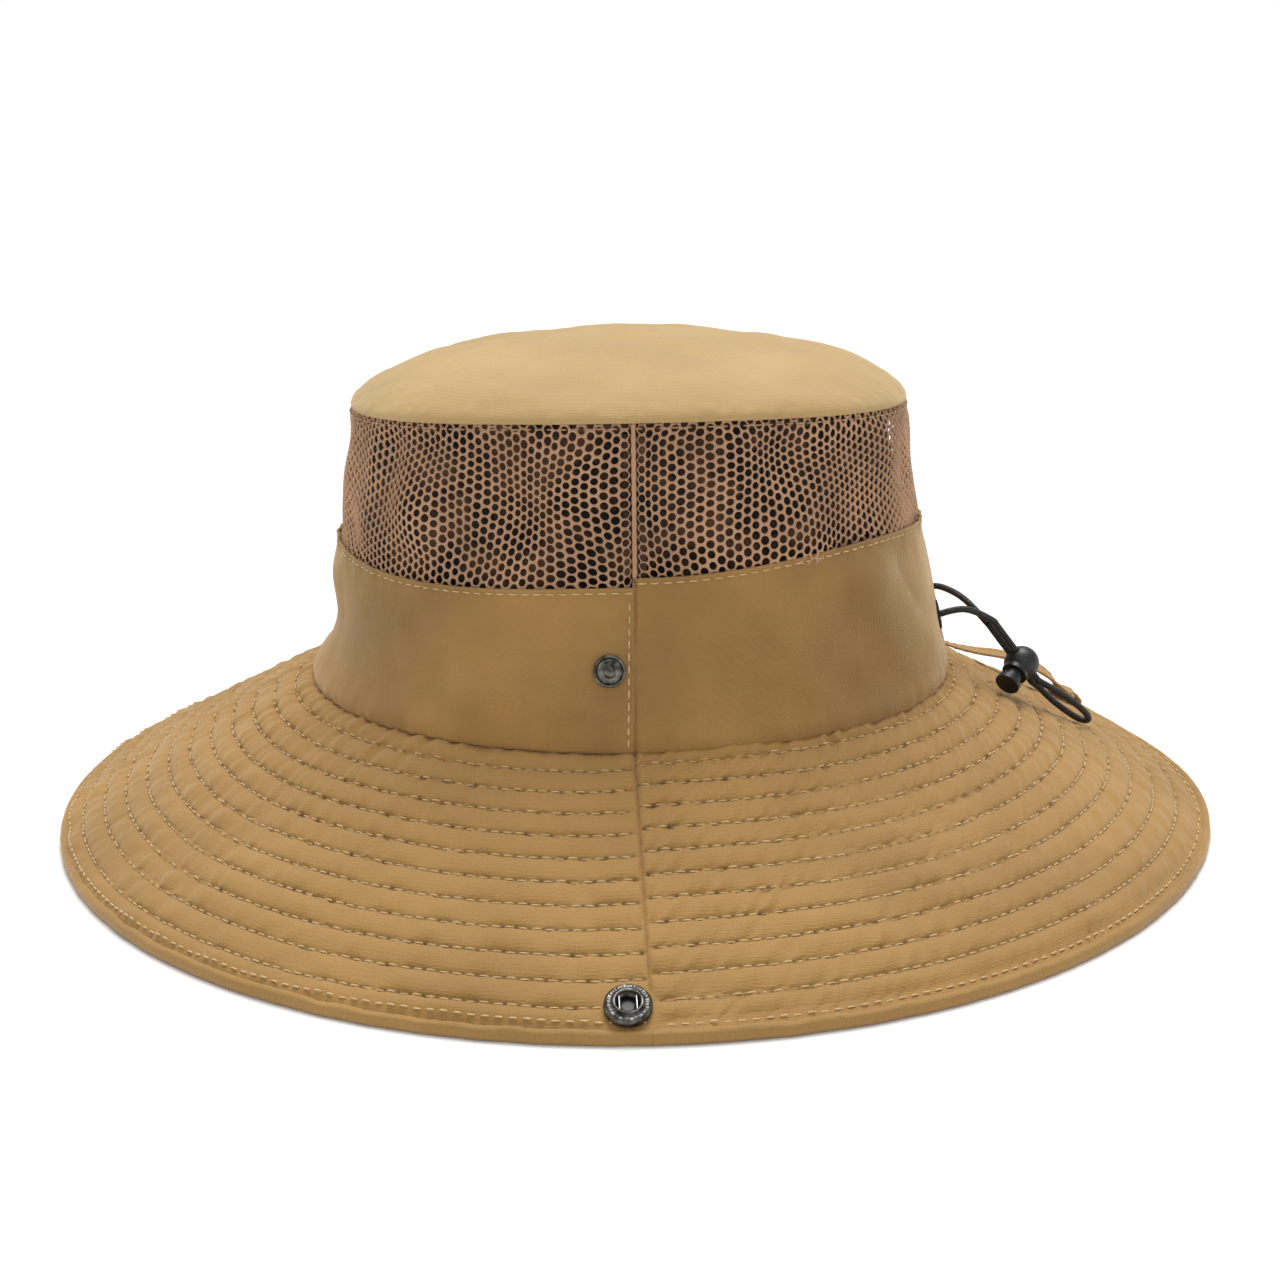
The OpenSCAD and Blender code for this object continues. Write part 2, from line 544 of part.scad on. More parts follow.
// the stitched patch that holds the end of a tie between the band and the sweatband
module tie_anchor(side) color(tan_cloth) mirrored(side)
  translate([seam_b - 3, -13, seam_z + 0.5]) cube([0.45, 10, 4]);
module tie_anchor_left() tie_anchor(1);
module tie_anchor_right() tie_anchor(-1);

crown_tip();
tip_seam_tape();
mesh_front();
mesh_rear();
mesh_seam_tape_left();
mesh_seam_tape_right();
band_front();
band_rear();
band_seam_tape_left();
band_seam_tape_right();
sweatband();
brim_top_front();
brim_top_rear();
brim_core();
brim_under_front();
brim_under_rear();
edge_binding();
fold_zone_left();
fold_zone_right();
side_top_left();
side_top_right();
side_core_left();
side_core_right();
side_under_left();
side_under_right();
side_binding_left();
side_binding_right();
stud_left();
stud_right();
stud_back_left();
stud_back_right();
socket_left();
socket_right();
socket_spring_left();
socket_spring_right();
socket_cap_left();
socket_cap_right();
eyelet_left();
eyelet_right();
drawcord_channel();
drawcord_loop();
lock_body();
lock_plunger();
lock_spring();
chin_tie_left();
chin_tie_right();
tie_anchor_left();
tie_anchor_right();
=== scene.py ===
"""A boonie hat on a pale floor: mesh crown, quilted brim with snap-up sides, rear drawcord and chin ties.

Lengths are in millimetres until a mesh is made. phi is the angle round the crown in degrees, from the
wearer's left (+X) towards the back (+Y). Along the brim, v is the distance from the crown.
"""
import json

import bpy
import numpy as np
from mathutils import Matrix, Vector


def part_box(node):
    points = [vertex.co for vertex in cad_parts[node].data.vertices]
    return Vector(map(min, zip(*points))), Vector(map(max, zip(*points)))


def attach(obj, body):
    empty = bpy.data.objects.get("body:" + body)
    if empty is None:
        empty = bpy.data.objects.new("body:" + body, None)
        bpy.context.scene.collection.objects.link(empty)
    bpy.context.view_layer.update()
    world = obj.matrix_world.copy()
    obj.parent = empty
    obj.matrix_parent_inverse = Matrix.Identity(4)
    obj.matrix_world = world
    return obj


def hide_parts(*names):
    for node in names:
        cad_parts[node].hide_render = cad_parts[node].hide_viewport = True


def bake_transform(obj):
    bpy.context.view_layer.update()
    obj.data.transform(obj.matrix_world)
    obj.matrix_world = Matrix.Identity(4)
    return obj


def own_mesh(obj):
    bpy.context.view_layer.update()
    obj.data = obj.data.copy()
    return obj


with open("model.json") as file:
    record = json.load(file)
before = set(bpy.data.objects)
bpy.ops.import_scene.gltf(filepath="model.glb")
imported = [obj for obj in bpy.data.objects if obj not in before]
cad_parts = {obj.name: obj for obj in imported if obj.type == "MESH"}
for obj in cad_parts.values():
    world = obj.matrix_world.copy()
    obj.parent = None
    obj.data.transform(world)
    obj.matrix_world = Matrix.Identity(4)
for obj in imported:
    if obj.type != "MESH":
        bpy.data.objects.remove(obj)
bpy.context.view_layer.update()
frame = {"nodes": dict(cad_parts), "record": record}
MM = 0.001


def box(node):
    """A CAD node's lowest and highest corners, in millimetres."""
    return [np.array(corner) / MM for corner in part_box(node)]


# ---- driving dimensions ----

RIM_B = box("side_binding_left")[1][0]      # half the brim's width
RIM_A = 187.0                               # half its length
SEAM_A, SEAM_B, SEAM_SHIFT = 104.0, 92.0, -1.8
BAND_A, BAND_B, CROWN_SHIFT = 93.0, 81.5, -1.0
TIP_A = (box("crown_tip")[1][1] - box("crown_tip")[0][1]) / 2
TIP_B = box("crown_tip")[1][0]
SEAM_Z, SEAM_DIP = 43.0, 2.5
BAND_Z = 90.0
BAND_R, NET_R = 86, 82                      # mean radii of the band and the mesh near their side seams
TIP_Z = 135.0
TOP_Z = box("crown_tip")[1][2]
BRIM_T = 3.0
SKIN_T = 0.8
BINDING_W = 2.6
SEAM_PHI = 2.0                              # the side seams lie this far ahead of the sides
BRIM_V = float(np.hypot(RIM_B - SEAM_B, SEAM_Z - BRIM_T))
WAY = {"left": 1, "right": -1}
SEAM_AT = {"left": -SEAM_PHI, "right": 180 + SEAM_PHI}
ROW_PITCH = 8.0
ROWS = 11
FIRST_ROW = (6.7, 3.3)                      # front and rear half, from the crown seam
STITCH = 3.4
EDGE_STITCHES = 330                         # round the whole rim


# ---- small helpers ----

def mix(p, q, t):
    return p + (q - p) * t


def shade(colour, by):
    return tuple(by * c for c in colour)


def bell(x, width):
    return np.exp(-(x / width) ** 2)


def wrapped(angle):
    return (np.asarray(angle) + 180) % 360 - 180


def bump(phi, middle, width):
    return bell(wrapped(phi - middle), width)


def smooth(a, b, t):
    t = np.clip((t - a) / (b - a), 0, 1)
    return t * t * (3 - 2 * t)


def spread(a, b):
    """Both as arrays of numbers, of one shape."""
    return np.broadcast_arrays(np.asarray(a, float), np.asarray(b, float))


def full_turn(count):
    """That many angles, evenly round a circle."""
    return np.radians(np.arange(count) * 360 / count)


def unit(v):
    v = np.asarray(v, float)
    return v / np.maximum(np.linalg.norm(v, axis=-1, keepdims=True), 1e-12)


def field(seed, wavelength, count=16, dimensions=3):
    """A smooth seeded noise of about unit strength, with that wavelength in millimetres."""
    rng = np.random.default_rng(seed)
    waves = unit(rng.normal(size=(count, dimensions)))
    waves *= (2 * np.pi / (wavelength * rng.uniform(0.65, 1.6, count)))[:, None]
    phase = rng.uniform(0, 2 * np.pi, count)

    def value(points):
        return np.cos(np.asarray(points) @ waves.T + phase).sum(-1) * np.sqrt(2 / count)
    return value


def rear_angle(phi):
    """Degrees behind the nearer side seam, negative in front of it."""
    return 90 + SEAM_PHI - np.abs(wrapped(phi - 90))


def seam_arc(phi, radius):
    """How far it is round to the nearer side seam."""
    return np.abs(rear_angle(phi)) * np.pi / 180 * radius


def beside(turn):
    """Each angle with one a little before it and one a little after."""
    return np.stack([turn - 0.3, turn, turn + 0.3], 1)


# ---- the surfaces ----

def seam_height(phi):
    return SEAM_Z - SEAM_DIP * np.clip(np.sin(np.radians(phi)), 0, 1) ** 2


def crown(phi, z, off=0.0):
    """A point of the crown's side."""
    phi, z = spread(phi, z)
    low = (z - SEAM_Z) / (BAND_Z - SEAM_Z)
    high = (z - BAND_Z) / (TIP_Z - BAND_Z)
    a = np.where(z < BAND_Z, mix(SEAM_A, BAND_A, low), mix(BAND_A, TIP_A, high))
    b = np.where(z < BAND_Z, mix(SEAM_B, BAND_B, low), mix(BAND_B, TIP_B, high))
    shift = np.where(z < BAND_Z, mix(SEAM_SHIFT, CROWN_SHIFT, low), CROWN_SHIFT)
    waist = 5 * bell(z - 62, 14) * bump(phi, 270, 70) * smooth(SEAM_Z, SEAM_Z + 10, z)
    turn = np.radians(phi)
    return np.stack([(b + off) * np.cos(turn), (a - waist + off) * np.sin(turn) + shift, z], -1)


def rim_pull(phi):
    return 1 - 0.068 * bump(phi, 110, 23) - 0.03 * bump(phi, 232, 25)


def rim_lift(phi):
    return 1.6 * bump(phi, 110, 9)


def brim(phi, v, depth=0.0):
    """A point of the plain brim, depth below its top."""
    phi, v = spread(phi, v)
    s = v / BRIM_V
    turn = np.radians(phi)
    pull = mix(1, rim_pull(phi), s)
    x = pull * mix(SEAM_B, RIM_B, s) * np.cos(turn)
    y = pull * (mix(SEAM_A, RIM_A, s) * np.sin(turn) + SEAM_SHIFT * (1 - s))
    sag = 2 * bump(phi, 120, 45) * 4 * s * (1 - s)
    z = mix(seam_height(phi), BRIM_T, s) - sag + rim_lift(phi) * s - depth
    return np.stack([x, y, z], -1)


def first_row(phi):
    """Where the first quilting row lies: the rear half's rows sit nearer the crown."""
    behind = rear_angle(phi)
    rise = 0.9 * smooth(-7, 0, behind) * (behind < 0)
    drop = 0.9 * np.exp(-np.clip(behind, 0, None) / 3.5) * (behind > 0)
    return mix(FIRST_ROW[0], FIRST_ROW[1], smooth(-0.06, 0.06, behind)) - rise + drop


def row_v(phi, row):
    return first_row(phi) + ROW_PITCH * row


def row_of(phi, v):
    """The quilting coordinate: whole numbers are rows."""
    return (v - first_row(phi)) / ROW_PITCH


def mean_radius(s):
    """The brim's mean radius that part of the way out."""
    return mix(98, 181, s)


def row_count(row):
    """How many stitches a whole row has round the hat."""
    s = np.clip((FIRST_ROW[0] + ROW_PITCH * row) / BRIM_V, 0, 1)
    return np.round(2 * np.pi * mean_radius(s) / STITCH)


ripples = [field(100 + k, 5.5, 20, 1) for k in range(ROWS + 2)]
wide_ripples = [field(200 + k, 13, 12, 1) for k in range(ROWS + 2)]
puff_noise = field(11, 26)
brim_noise = field(12, 70)


def hardware_mask(points):
    """Falls to 0 beside the snap sockets, where the cloth is pressed flat."""
    lo, hi = box("socket_left")
    middle = (lo + hi) / 2
    near = np.hypot(np.abs(points[..., 0]) - middle[0], points[..., 1] - middle[1])
    return smooth(5.5, 10, near)


def quilting(phi, v, side=1):
    """Height of the quilted cloth over the plain brim; side is -1 for the underside."""
    phi, v = spread(phi, v)
    plain = brim(phi, v)
    u = row_of(phi, v)
    k = np.clip(np.floor(u), -1, ROWS - 1)
    part = u - k
    part = np.where(k == ROWS - 1, np.clip(part * ROW_PITCH / 6.2, 0, 1), part)
    pillow = 1 - np.abs(2 * part - 1) ** 2.1
    height = (1.0 + 0.26 * puff_noise(plain)) * pillow - 0.45
    rowdist = np.minimum(part, 1 - part) * ROW_PITCH
    height = height - 0.26 * bell(rowdist, 0.6)
    # the thread draws the cloth into ripples across each row
    behind = rear_angle(phi)
    lean = mix(0.0, 0.85, smooth(-2, 2, behind))
    front_gather = bump(phi, 285, 62)
    for row in range(-1, ROWS):
        here = k == row
        if not here.any():
            continue
        radius = mean_radius((FIRST_ROW[0] + ROW_PITCH * (row + 0.5)) / BRIM_V)
        along = np.radians(phi[here]) * radius + (lean * (v - row_v(phi, row + 0.5)))[here]
        strength = 0.16 + 0.42 * np.exp(-v[here] / 50) * mix(front_gather, 0.85, smooth(-2, 2, behind))[here]
        wave = ripples[row + 1](along[..., None])
        slow = wide_ripples[row + 1](along[..., None])
        height[here] += strength * (0.35 + 0.65 * (1 - pillow[here])) * wave + 0.2 * pillow[here] * slow
    height = height + 0.35 * brim_noise(plain) * smooth(0, 20, v) * smooth(0, 8, BRIM_V - v)
    # the side seam's groove, and the crease at the crown
    arc = seam_arc(phi, mix(92, 178, v / BRIM_V))
    height = mix(0.1, height, smooth(0, 1.4, arc)) - 0.8 * np.exp(-(arc / 0.35) ** 1.5)
    height = height - 0.5 * np.exp(-np.clip(v, 0, None) / 1.2)
    height = mix(0.05, height, hardware_mask(plain))
    height = height * smooth(0, 2.2, BRIM_V - v) if side > 0 else 0.45 * height
    return height


def normals_of(points, wrap=False):
    """The normals of a grid whose columns go round and whose rows go up or outwards."""
    if wrap:
        across = np.roll(points, -1, 1) - np.roll(points, 1, 1)
    else:
        across = np.gradient(points, axis=1)
    along = np.gradient(points, axis=0)
    return unit(np.cross(across, along))


# ---- meshes ----

def add_mesh(name, points, faces, material, uv=None, normals=None):
    mesh = bpy.data.meshes.new(name)
    mesh.from_pydata((np.asarray(points).reshape(-1, 3) * MM).tolist(), [],
                     [f.tolist() if hasattr(f, "tolist") else f for f in faces])
    mesh.update()
    mesh.shade_smooth()
    if uv is not None:
        layer = mesh.uv_layers.new(name="cloth")
        corners = np.empty(len(mesh.loops), np.int32)
        mesh.loops.foreach_get("vertex_index", corners)
        layer.data.foreach_set("uv", np.asarray(uv, np.float32).reshape(-1, 2)[corners].ravel())
    if normals is not None:
        own = np.empty(len(mesh.vertices) * 3, np.float32)
        mesh.vertex_normals.foreach_get("vector", own)
        own = own.reshape(-1, 3)
        own[:len(normals)] = normals
        mesh.normals_split_custom_set_from_vertices(own.tolist())
    piece = bpy.data.objects.new(name, mesh)
    bpy.context.scene.collection.objects.link(piece)
    mesh.materials.append(materials[material])
    return piece


def grid_quads(rows, cols, wrap=False):
    index = np.arange(rows * cols).reshape(rows, cols)
    if wrap:
        index = np.hstack([index, index[:, :1]])
    corners = [index[:-1, :-1], index[:-1, 1:], index[1:, 1:], index[1:, :-1]]
    return index, np.stack(corners, -1).reshape(-1, 4)


def tube_faces(rows, cols):
    """The faces of a closed tube of rings, with a face over each end."""
    _, quads = grid_quads(rows, cols, True)
    last = (rows - 1) * cols
    return quads.tolist() + [list(range(cols))[::-1], [last + k for k in range(cols)]]


def shell(name, outer, inner, material, wrap=False, uv=None, normals=None, flip=False):
    """A closed sheet between two grids of points."""
    rows, cols = outer.shape[:2]
    index, quads = grid_quads(rows, cols, wrap)
    n = rows * cols
    faces = [quads, quads[:, ::-1] + n]
    p, q = index[0, :-1], index[0, 1:]
    faces.append(np.stack([q, p, p + n, q + n], 1))
    p, q = index[-1, :-1], index[-1, 1:]
    faces.append(np.stack([p, q, q + n, p + n], 1))
    if not wrap:
        p, q = index[:-1, 0], index[1:, 0]
        faces.append(np.stack([p, q, q + n, p + n], 1))
        p, q = index[:-1, -1], index[1:, -1]
        faces.append(np.stack([q, p, p + n, q + n], 1))
    faces = np.concatenate(faces)
    if flip:
        faces = faces[:, ::-1]
    points = np.concatenate([outer.reshape(-1, 3), inner.reshape(-1, 3)])
    if uv is not None:
        uv = np.concatenate([uv.reshape(-1, 2)] * 2)
    if normals is not None:
        normals = normals.reshape(-1, 3)
    return add_mesh(name, points, faces.tolist(), material, uv, normals)


def spline(points, count):
    """A smooth line through the points, as the CAD part's own."""
    points = np.asarray(points, float)
    last = len(points) - 1
    out = []
    for i in range(last):
        a, b, c, d = points[max(0, i - 1)], points[i], points[i + 1], points[min(last, i + 2)]
        for t in np.arange(count) / count:
            out.append(0.5 * (2 * b + (c - a) * t + (2 * a - 5 * b + 4 * c - d) * t * t
                              + (3 * b - a - 3 * c + d) * t ** 3))
    out.append(points[-1])
    return np.array(out)


def circle(radius, count):
    turns = full_turn(count)
    return radius * np.stack([np.cos(turns), np.sin(turns)], -1)


def frames_along(route, hints):
    ahead = np.empty_like(route)
    ahead[1:-1] = route[2:] - route[:-2]
    ahead[0], ahead[-1] = route[1] - route[0], route[-1] - route[-2]
    ahead = unit(ahead)
    side = unit(np.cross(np.broadcast_to(hints, route.shape), ahead))
    return side, np.cross(ahead, side), ahead


def swept(name, route, hints, outline, material):
    """Sweeps an outline, or one outline for each point, along a route."""
    side, up, _ = frames_along(route, hints)
    outline = np.broadcast_to(outline, (len(route),) + np.shape(outline)[-2:])
    points = route[:, None] + side[:, None] * outline[..., :1] + up[:, None] * outline[..., 1:]
    return add_mesh(name, points, tube_faces(len(route), outline.shape[1]), material)


def stitches(name, lines, length, radius, arch, thread="thread"):
    """Threads at given places. lines is a list of (centres, directions, normals)."""
    centre, ahead, normal = (np.concatenate([line[k] for line in lines]) for k in range(3))
    ahead = unit(ahead)
    side = unit(np.cross(normal, ahead))
    normal = np.cross(ahead, side)
    ring_at = np.array([-0.36, 0.0, 0.36])
    turns = full_turn(6)
    ring = [(-0.5, 0, -0.12)]
    for t in ring_at:
        swell = 0.82 if t else 1.0
        ring += [(t, radius * swell * np.cos(a), radius * swell * np.sin(a) * 0.8 + arch * (1 - (2 * t) ** 2))
                 for a in turns]
    ring += [(0.5, 0, -0.12)]
    ring = np.array(ring)
    points = (centre[:, None] + ahead[:, None] * (ring[None, :, :1] * length)
              + side[:, None] * ring[None, :, 1:2] + normal[:, None] * ring[None, :, 2:])
    tris, quads = [], []
    for k in range(6):
        m = (k + 1) % 6
        tris += [[0, 1 + m, 1 + k], [19, 13 + k, 13 + m]]
        for r in (0, 6):
            quads.append([1 + r + k, 1 + r + m, 7 + r + m, 7 + r + k])
    offsets = np.arange(len(centre)) * len(ring)
    faces = [(np.array(f)[None] + offsets[:, None]).tolist() for f in tris + quads]
    return add_mesh(name, points, [f for group in faces for f in group], thread)


# ---- materials ----

def set_stops(ramp, stops):
    ends = ramp.color_ramp.elements
    while len(ends) < len(stops):
        ends.new(0.5)
    for end, (at, colour) in zip(ends, stops):
        end.position = at
        end.color = (*colour, 1)


class Shader:
    """A few short ways to build a node material."""

    def __init__(self, name, roughness, **sockets):
        self.material = bpy.data.materials.new(name)
        self.material.use_nodes = True
        self.tree = self.material.node_tree
        self.base = self.tree.nodes["Principled BSDF"]
        self.base.inputs["Roughness"].default_value = roughness
        for socket, value in sockets.items():
            self.base.inputs[socket.replace("_", " ")].default_value = value
        self.place = self.node("ShaderNodeTexCoord").outputs["Object"]

    def node(self, kind, **values):
        made = self.tree.nodes.new(kind)
        for key, value in values.items():
            setattr(made, key, value)
        return made

    def link(self, source, target):
        self.tree.links.new(source, target)

    def noise(self, scale, detail):
        made = self.node("ShaderNodeTexNoise")
        made.inputs["Scale"].default_value = scale
        made.inputs["Detail"].default_value = detail
        self.link(self.place, made.inputs["Vector"])
        return made.outputs["Fac"]

    def ramp(self, value, stops):
        made = self.node("ShaderNodeValToRGB")
        set_stops(made, stops)
        self.link(value, made.inputs["Fac"])
        return made.outputs["Color"]

    def math(self, operation, a, b=None, c=None):
        made = self.node("ShaderNodeMath", operation=operation)
        for slot_, value in zip(made.inputs, (a, b, c)):
            if isinstance(value, (int, float)):
                slot_.default_value = value
            elif value is not None:
                self.link(value, slot_)
        return made.outputs["Value"]

    def near(self, distance, steepness, softness):
        """1 where the distance is nothing, falling to 0."""
        scaled = self.math("MULTIPLY", distance, steepness)
        return self.math("SUBTRACT", 1.0, self.math("SMOOTH_MIN", scaled, 1.0, softness))

    def blend(self, factor, a, b):
        made = self.node("ShaderNodeMix", data_type="RGBA")
        for at, value in ((0, factor), (6, a), (7, b)):
            if isinstance(value, (int, float)):
                made.inputs[at].default_value = value
            elif isinstance(value, tuple):
                made.inputs[at].default_value = (*value, 1)
            else:
                self.link(value, made.inputs[at])
        return made.outputs[2]

    def colour(self, source):
        self.link(source, self.base.inputs["Base Color"])

    def bump(self, height, strength, distance):
        made = self.node("ShaderNodeBump")
        made.inputs["Strength"].default_value = strength
        made.inputs["Distance"].default_value = distance
        self.link(height, made.inputs["Height"])
        self.link(made.outputs["Normal"], self.base.inputs["Normal"])


def weave(shader, pitch=0.0007):
    """A fine plain weave from two crossed sets of waves."""
    sets = []
    for direction in ("X", "Y", "Z"):
        wave = shader.node("ShaderNodeTexWave", bands_direction=direction)
        wave.inputs["Scale"].default_value = 0.314 / pitch
        wave.inputs["Distortion"].default_value = 1.5
        wave.inputs["Detail"].default_value = 1.0
        shader.link(shader.place, wave.inputs["Vector"])
        sets.append(wave.outputs["Fac"])
    return shader.math("ADD", shader.math("ADD", sets[0], sets[1]), sets[2])


def cloth(name, base, quilted=False, cloud=0.12):
    """Matt woven nylon with a faint sheen and cloudy colour; on the brim, painted shade along the stitch rows
    and in the needle holes.
    """
    shader = Shader(name, 0.72, Sheen_Weight=0.4, Sheen_Roughness=0.45)
    shader.base.inputs["Sheen Tint"].default_value = (1.0, 0.86, 0.62, 1)
    shader.base.inputs["Specular IOR Level"].default_value = 0.3
    dark, light = shade(base, 1 - cloud), shade(base, 1 + 0.75 * cloud)
    tone = shader.ramp(shader.noise(22, 5), [(0.34, dark), (0.66, light)])
    threads = weave(shader)
    tone = shader.blend(shader.math("MULTIPLY", threads, 0.045), tone, shade(base, 0.55))
    if quilted:
        place = shader.node("ShaderNodeUVMap", uv_map="cloth").outputs["UV"]
        split = shader.node("ShaderNodeSeparateXYZ")
        shader.link(place, split.inputs["Vector"])
        along = shader.math("PINGPONG", split.outputs["X"], 0.5)
        across = shader.math("PINGPONG", split.outputs["Y"], 0.5)
        far = shader.math("SQRT", shader.math("ADD",
                          shader.math("POWER", shader.math("MULTIPLY", along, STITCH), 2.0),
                          shader.math("POWER", shader.math("MULTIPLY", across, ROW_PITCH), 2.0)))
        # painted shade: dark dots at the stitch ends stand for the shade inside the needle holes
        hole = shader.near(far, 1.6, 0.3)
        # painted shade: the cloth is darkened along each stitch row, where the quilting dips
        line = shader.near(across, 9.0, 0.4)
        tone = shader.blend(shader.math("MULTIPLY", line, 0.30), tone, shade(base, 0.45))
        tone = shader.blend(shader.math("MULTIPLY", hole, 0.85), tone, shade(base, 0.22))
    shader.colour(tone)
    fibre = shader.math("ADD", shader.math("MULTIPLY", threads, 0.5), shader.noise(900, 2))
    shader.bump(fibre, 0.35, 0.0002)
    return shader.material


def spotted(name, roughness, spots, stops, grain=None, **sockets):
    """Soft spots between two tones, with a fine grain: its scale, detail, strength and depth."""
    shader = Shader(name, roughness, **sockets)
    shader.colour(shader.ramp(shader.noise(*spots), stops))
    if grain:
        shader.bump(shader.noise(*grain[:2]), *grain[2:])
    return shader.material


def knit(name, base):
    """The net's twisted thread."""
    return spotted(name, 0.8, (45, 3), [(0.3, shade(base, 0.8)), (0.7, shade(base, 1.15))],
                   (2600, 2, 0.5, 0.0002), Sheen_Weight=0.15)


def thread(name, base):
    return spotted(name, 0.6, (300, 2), [(0.35, shade(base, 0.85)), (0.65, base)],
                   (3000, 2, 0.4, 0.0001), Sheen_Weight=0.2)


def metal(name, base, worn, roughness=0.33):
    """Plated metal, brighter where it has been rubbed."""
    return spotted(name, roughness, (420, 5), [(0.35, base), (0.7, worn)], (1500, 3, 0.15, 0.0001),
                   Metallic=1.0)


def braid(name):
    """Black braided elastic with a diamond pattern of strands."""
    shader = Shader(name, 0.55, Sheen_Weight=0.1)
    cells = shader.node("ShaderNodeTexVoronoi")
    cells.inputs["Scale"].default_value = 1500
    shader.link(shader.place, cells.inputs["Vector"])
    strands = [(0.1, (0.018, 0.018, 0.019)), (0.6, (0.004, 0.004, 0.004))]
    shader.colour(shader.ramp(cells.outputs["Distance"], strands))
    shader.bump(cells.outputs["Distance"], 0.7, 0.0003)
    return shader.material


TAN = (0.376, 0.210, 0.062)
BLACK = (0.009, 0.009, 0.010)
materials = {
    "tan": cloth("tan_nylon", TAN),
    # the band is the brim's cloth made darker as painted shade for its upright side, with stronger random
    # clouding
    "band": cloth("band_nylon_painted_shade", shade(TAN, 0.94), cloud=0.22),
    # the tip is the same cloth made lighter as a painted sheen on its top
    "tip": cloth("tip_nylon_painted_sheen", (0.52, 0.345, 0.142)),
    "quilt": cloth("quilted_nylon", TAN, quilted=True),
    "mesh": knit("net_thread", (0.52, 0.30, 0.17)),
    # the inner net's colour is painted shade: near-black and dark brown spots stand for the shade inside the
    # crown seen through the mesh holes
    "painted_shade_backing": spotted("inner_net_painted_shade", 0.9, (85, 3),
                      [(0.42, (0.012, 0.007, 0.004)), (0.66, (0.13, 0.068, 0.033))]),
    "thread": thread("light_thread", (0.70, 0.50, 0.24)),
    # the same thread darkened as painted shade, for the stitches under the tip's rolled edge
    "painted_shade_thread": thread("thread_in_painted_shade", (0.45, 0.27, 0.13)),
    "core": knit("interlining_felt", (0.75, 0.72, 0.66)),
    "sweatband": cloth("sweatband_cloth", (0.36, 0.22, 0.09)),
    "tape": cloth("tape_cloth", (0.38, 0.23, 0.09)),
    "gunmetal": metal("antique_gunmetal", (0.035, 0.033, 0.030), (0.24, 0.23, 0.205)),
    "steel": metal("spring_wire", (0.16, 0.16, 0.155), (0.45, 0.45, 0.43), 0.3),
    "black_metal": metal("black_lacquer", (0.012, 0.012, 0.012), (0.05, 0.05, 0.05), 0.4),
    "cord": braid("braided_elastic"),
    "plastic": spotted("moulded_black", 0.42, (60, 3), [(0.3, BLACK), (0.7, shade(BLACK, 1.6))],
                       (1800, 2, 0.12, 0.0001)),
}


# ---- camera ----

CAMERA_PLACE = np.array([547.6, -29.4, 215.2])
CAMERA_TURN = (0.0565, 0.2951, -0.0111)     # to its right, down and rolled, in radians
LENS = 48.65


def placement(x, y, z, place=(0, 0, 0)):
    rows = np.eye(4)
    rows[:3, 0], rows[:3, 1], rows[:3, 2], rows[:3, 3] = x, y, z, place
    return Matrix(rows.tolist())


def add_camera():
    """Beside the hat on the wearer's left, a little above the crown."""
    turn, dip, roll = CAMERA_TURN
    ahead = np.array([-np.cos(turn) * np.cos(dip), np.sin(turn) * np.cos(dip), -np.sin(dip)])
    level = np.array([np.sin(turn), np.cos(turn), 0])
    upright = np.cross(level, ahead)
    right = level * np.cos(roll) + upright * np.sin(roll)
    up = upright * np.cos(roll) - level * np.sin(roll)
    camera = bpy.data.objects.new("camera", bpy.data.cameras.new("camera"))
    bpy.context.scene.collection.objects.link(camera)
    camera.matrix_world = placement(right, up, -ahead, CAMERA_PLACE * MM)
    camera.data.lens = LENS
    camera.data.sensor_width = 36
    camera.data.clip_start = 0.01
    bpy.context.scene.camera = camera


add_camera()

# ---- cords ----

LOCK_POS = np.array([11, 127.2, 40.2])
CORD_DIR = unit([0, 13, -17])
PLUNGER_TURN = np.radians(50)
PLUNGER_DIR = np.array([np.cos(PLUNGER_TURN), 0, 0]) + np.sin(PLUNGER_TURN) * np.cross(CORD_DIR, [1, 0, 0])
STRAND_DIR = unit(np.cross(CORD_DIR, PLUNGER_DIR))
CORD_D = 2.2
STRAND = 1.5                                # half the distance between the strands in the lock
WELL_DEPTH = 4.2                            # the plunger's well, down from the lock's middle
COIL_R, COIL_WIRE_R, COIL_TURNS = 1.9, 0.2, 3.5


def strand_line(side):
    start = LOCK_POS - 16 * CORD_DIR
    return [start + t * CORD_DIR + side * STRAND * STRAND_DIR for t in (-2.2, 0.2, 22, 24)]


LEFT_STRAND = [[14.2, 94.6, 59], [15, 97.5, 59], [15.6, 101.5, 60.2], [15.4, 106, 60.6],
               [14, 111, 58.8]]
RIGHT_STRAND = [[-14.2, 94.6, 59], [-15, 97.5, 59], [-14.4, 101.2, 60.4], [-8.5, 104.8, 61.4],
                [1.5, 109.5, 60]]
LOOP_TURN = [[9.4, 134.2, 30.9], [8.8, 138.5, 26.6], [8.6, 143.5, 22.6], [9, 148.2, 19.5],
             [10.4, 150.8, 19.3], [12.2, 150.2, 21.6], [13.2, 146.5, 25.4], [13.4, 141.5, 29.2],
             [12.9, 137, 32]]
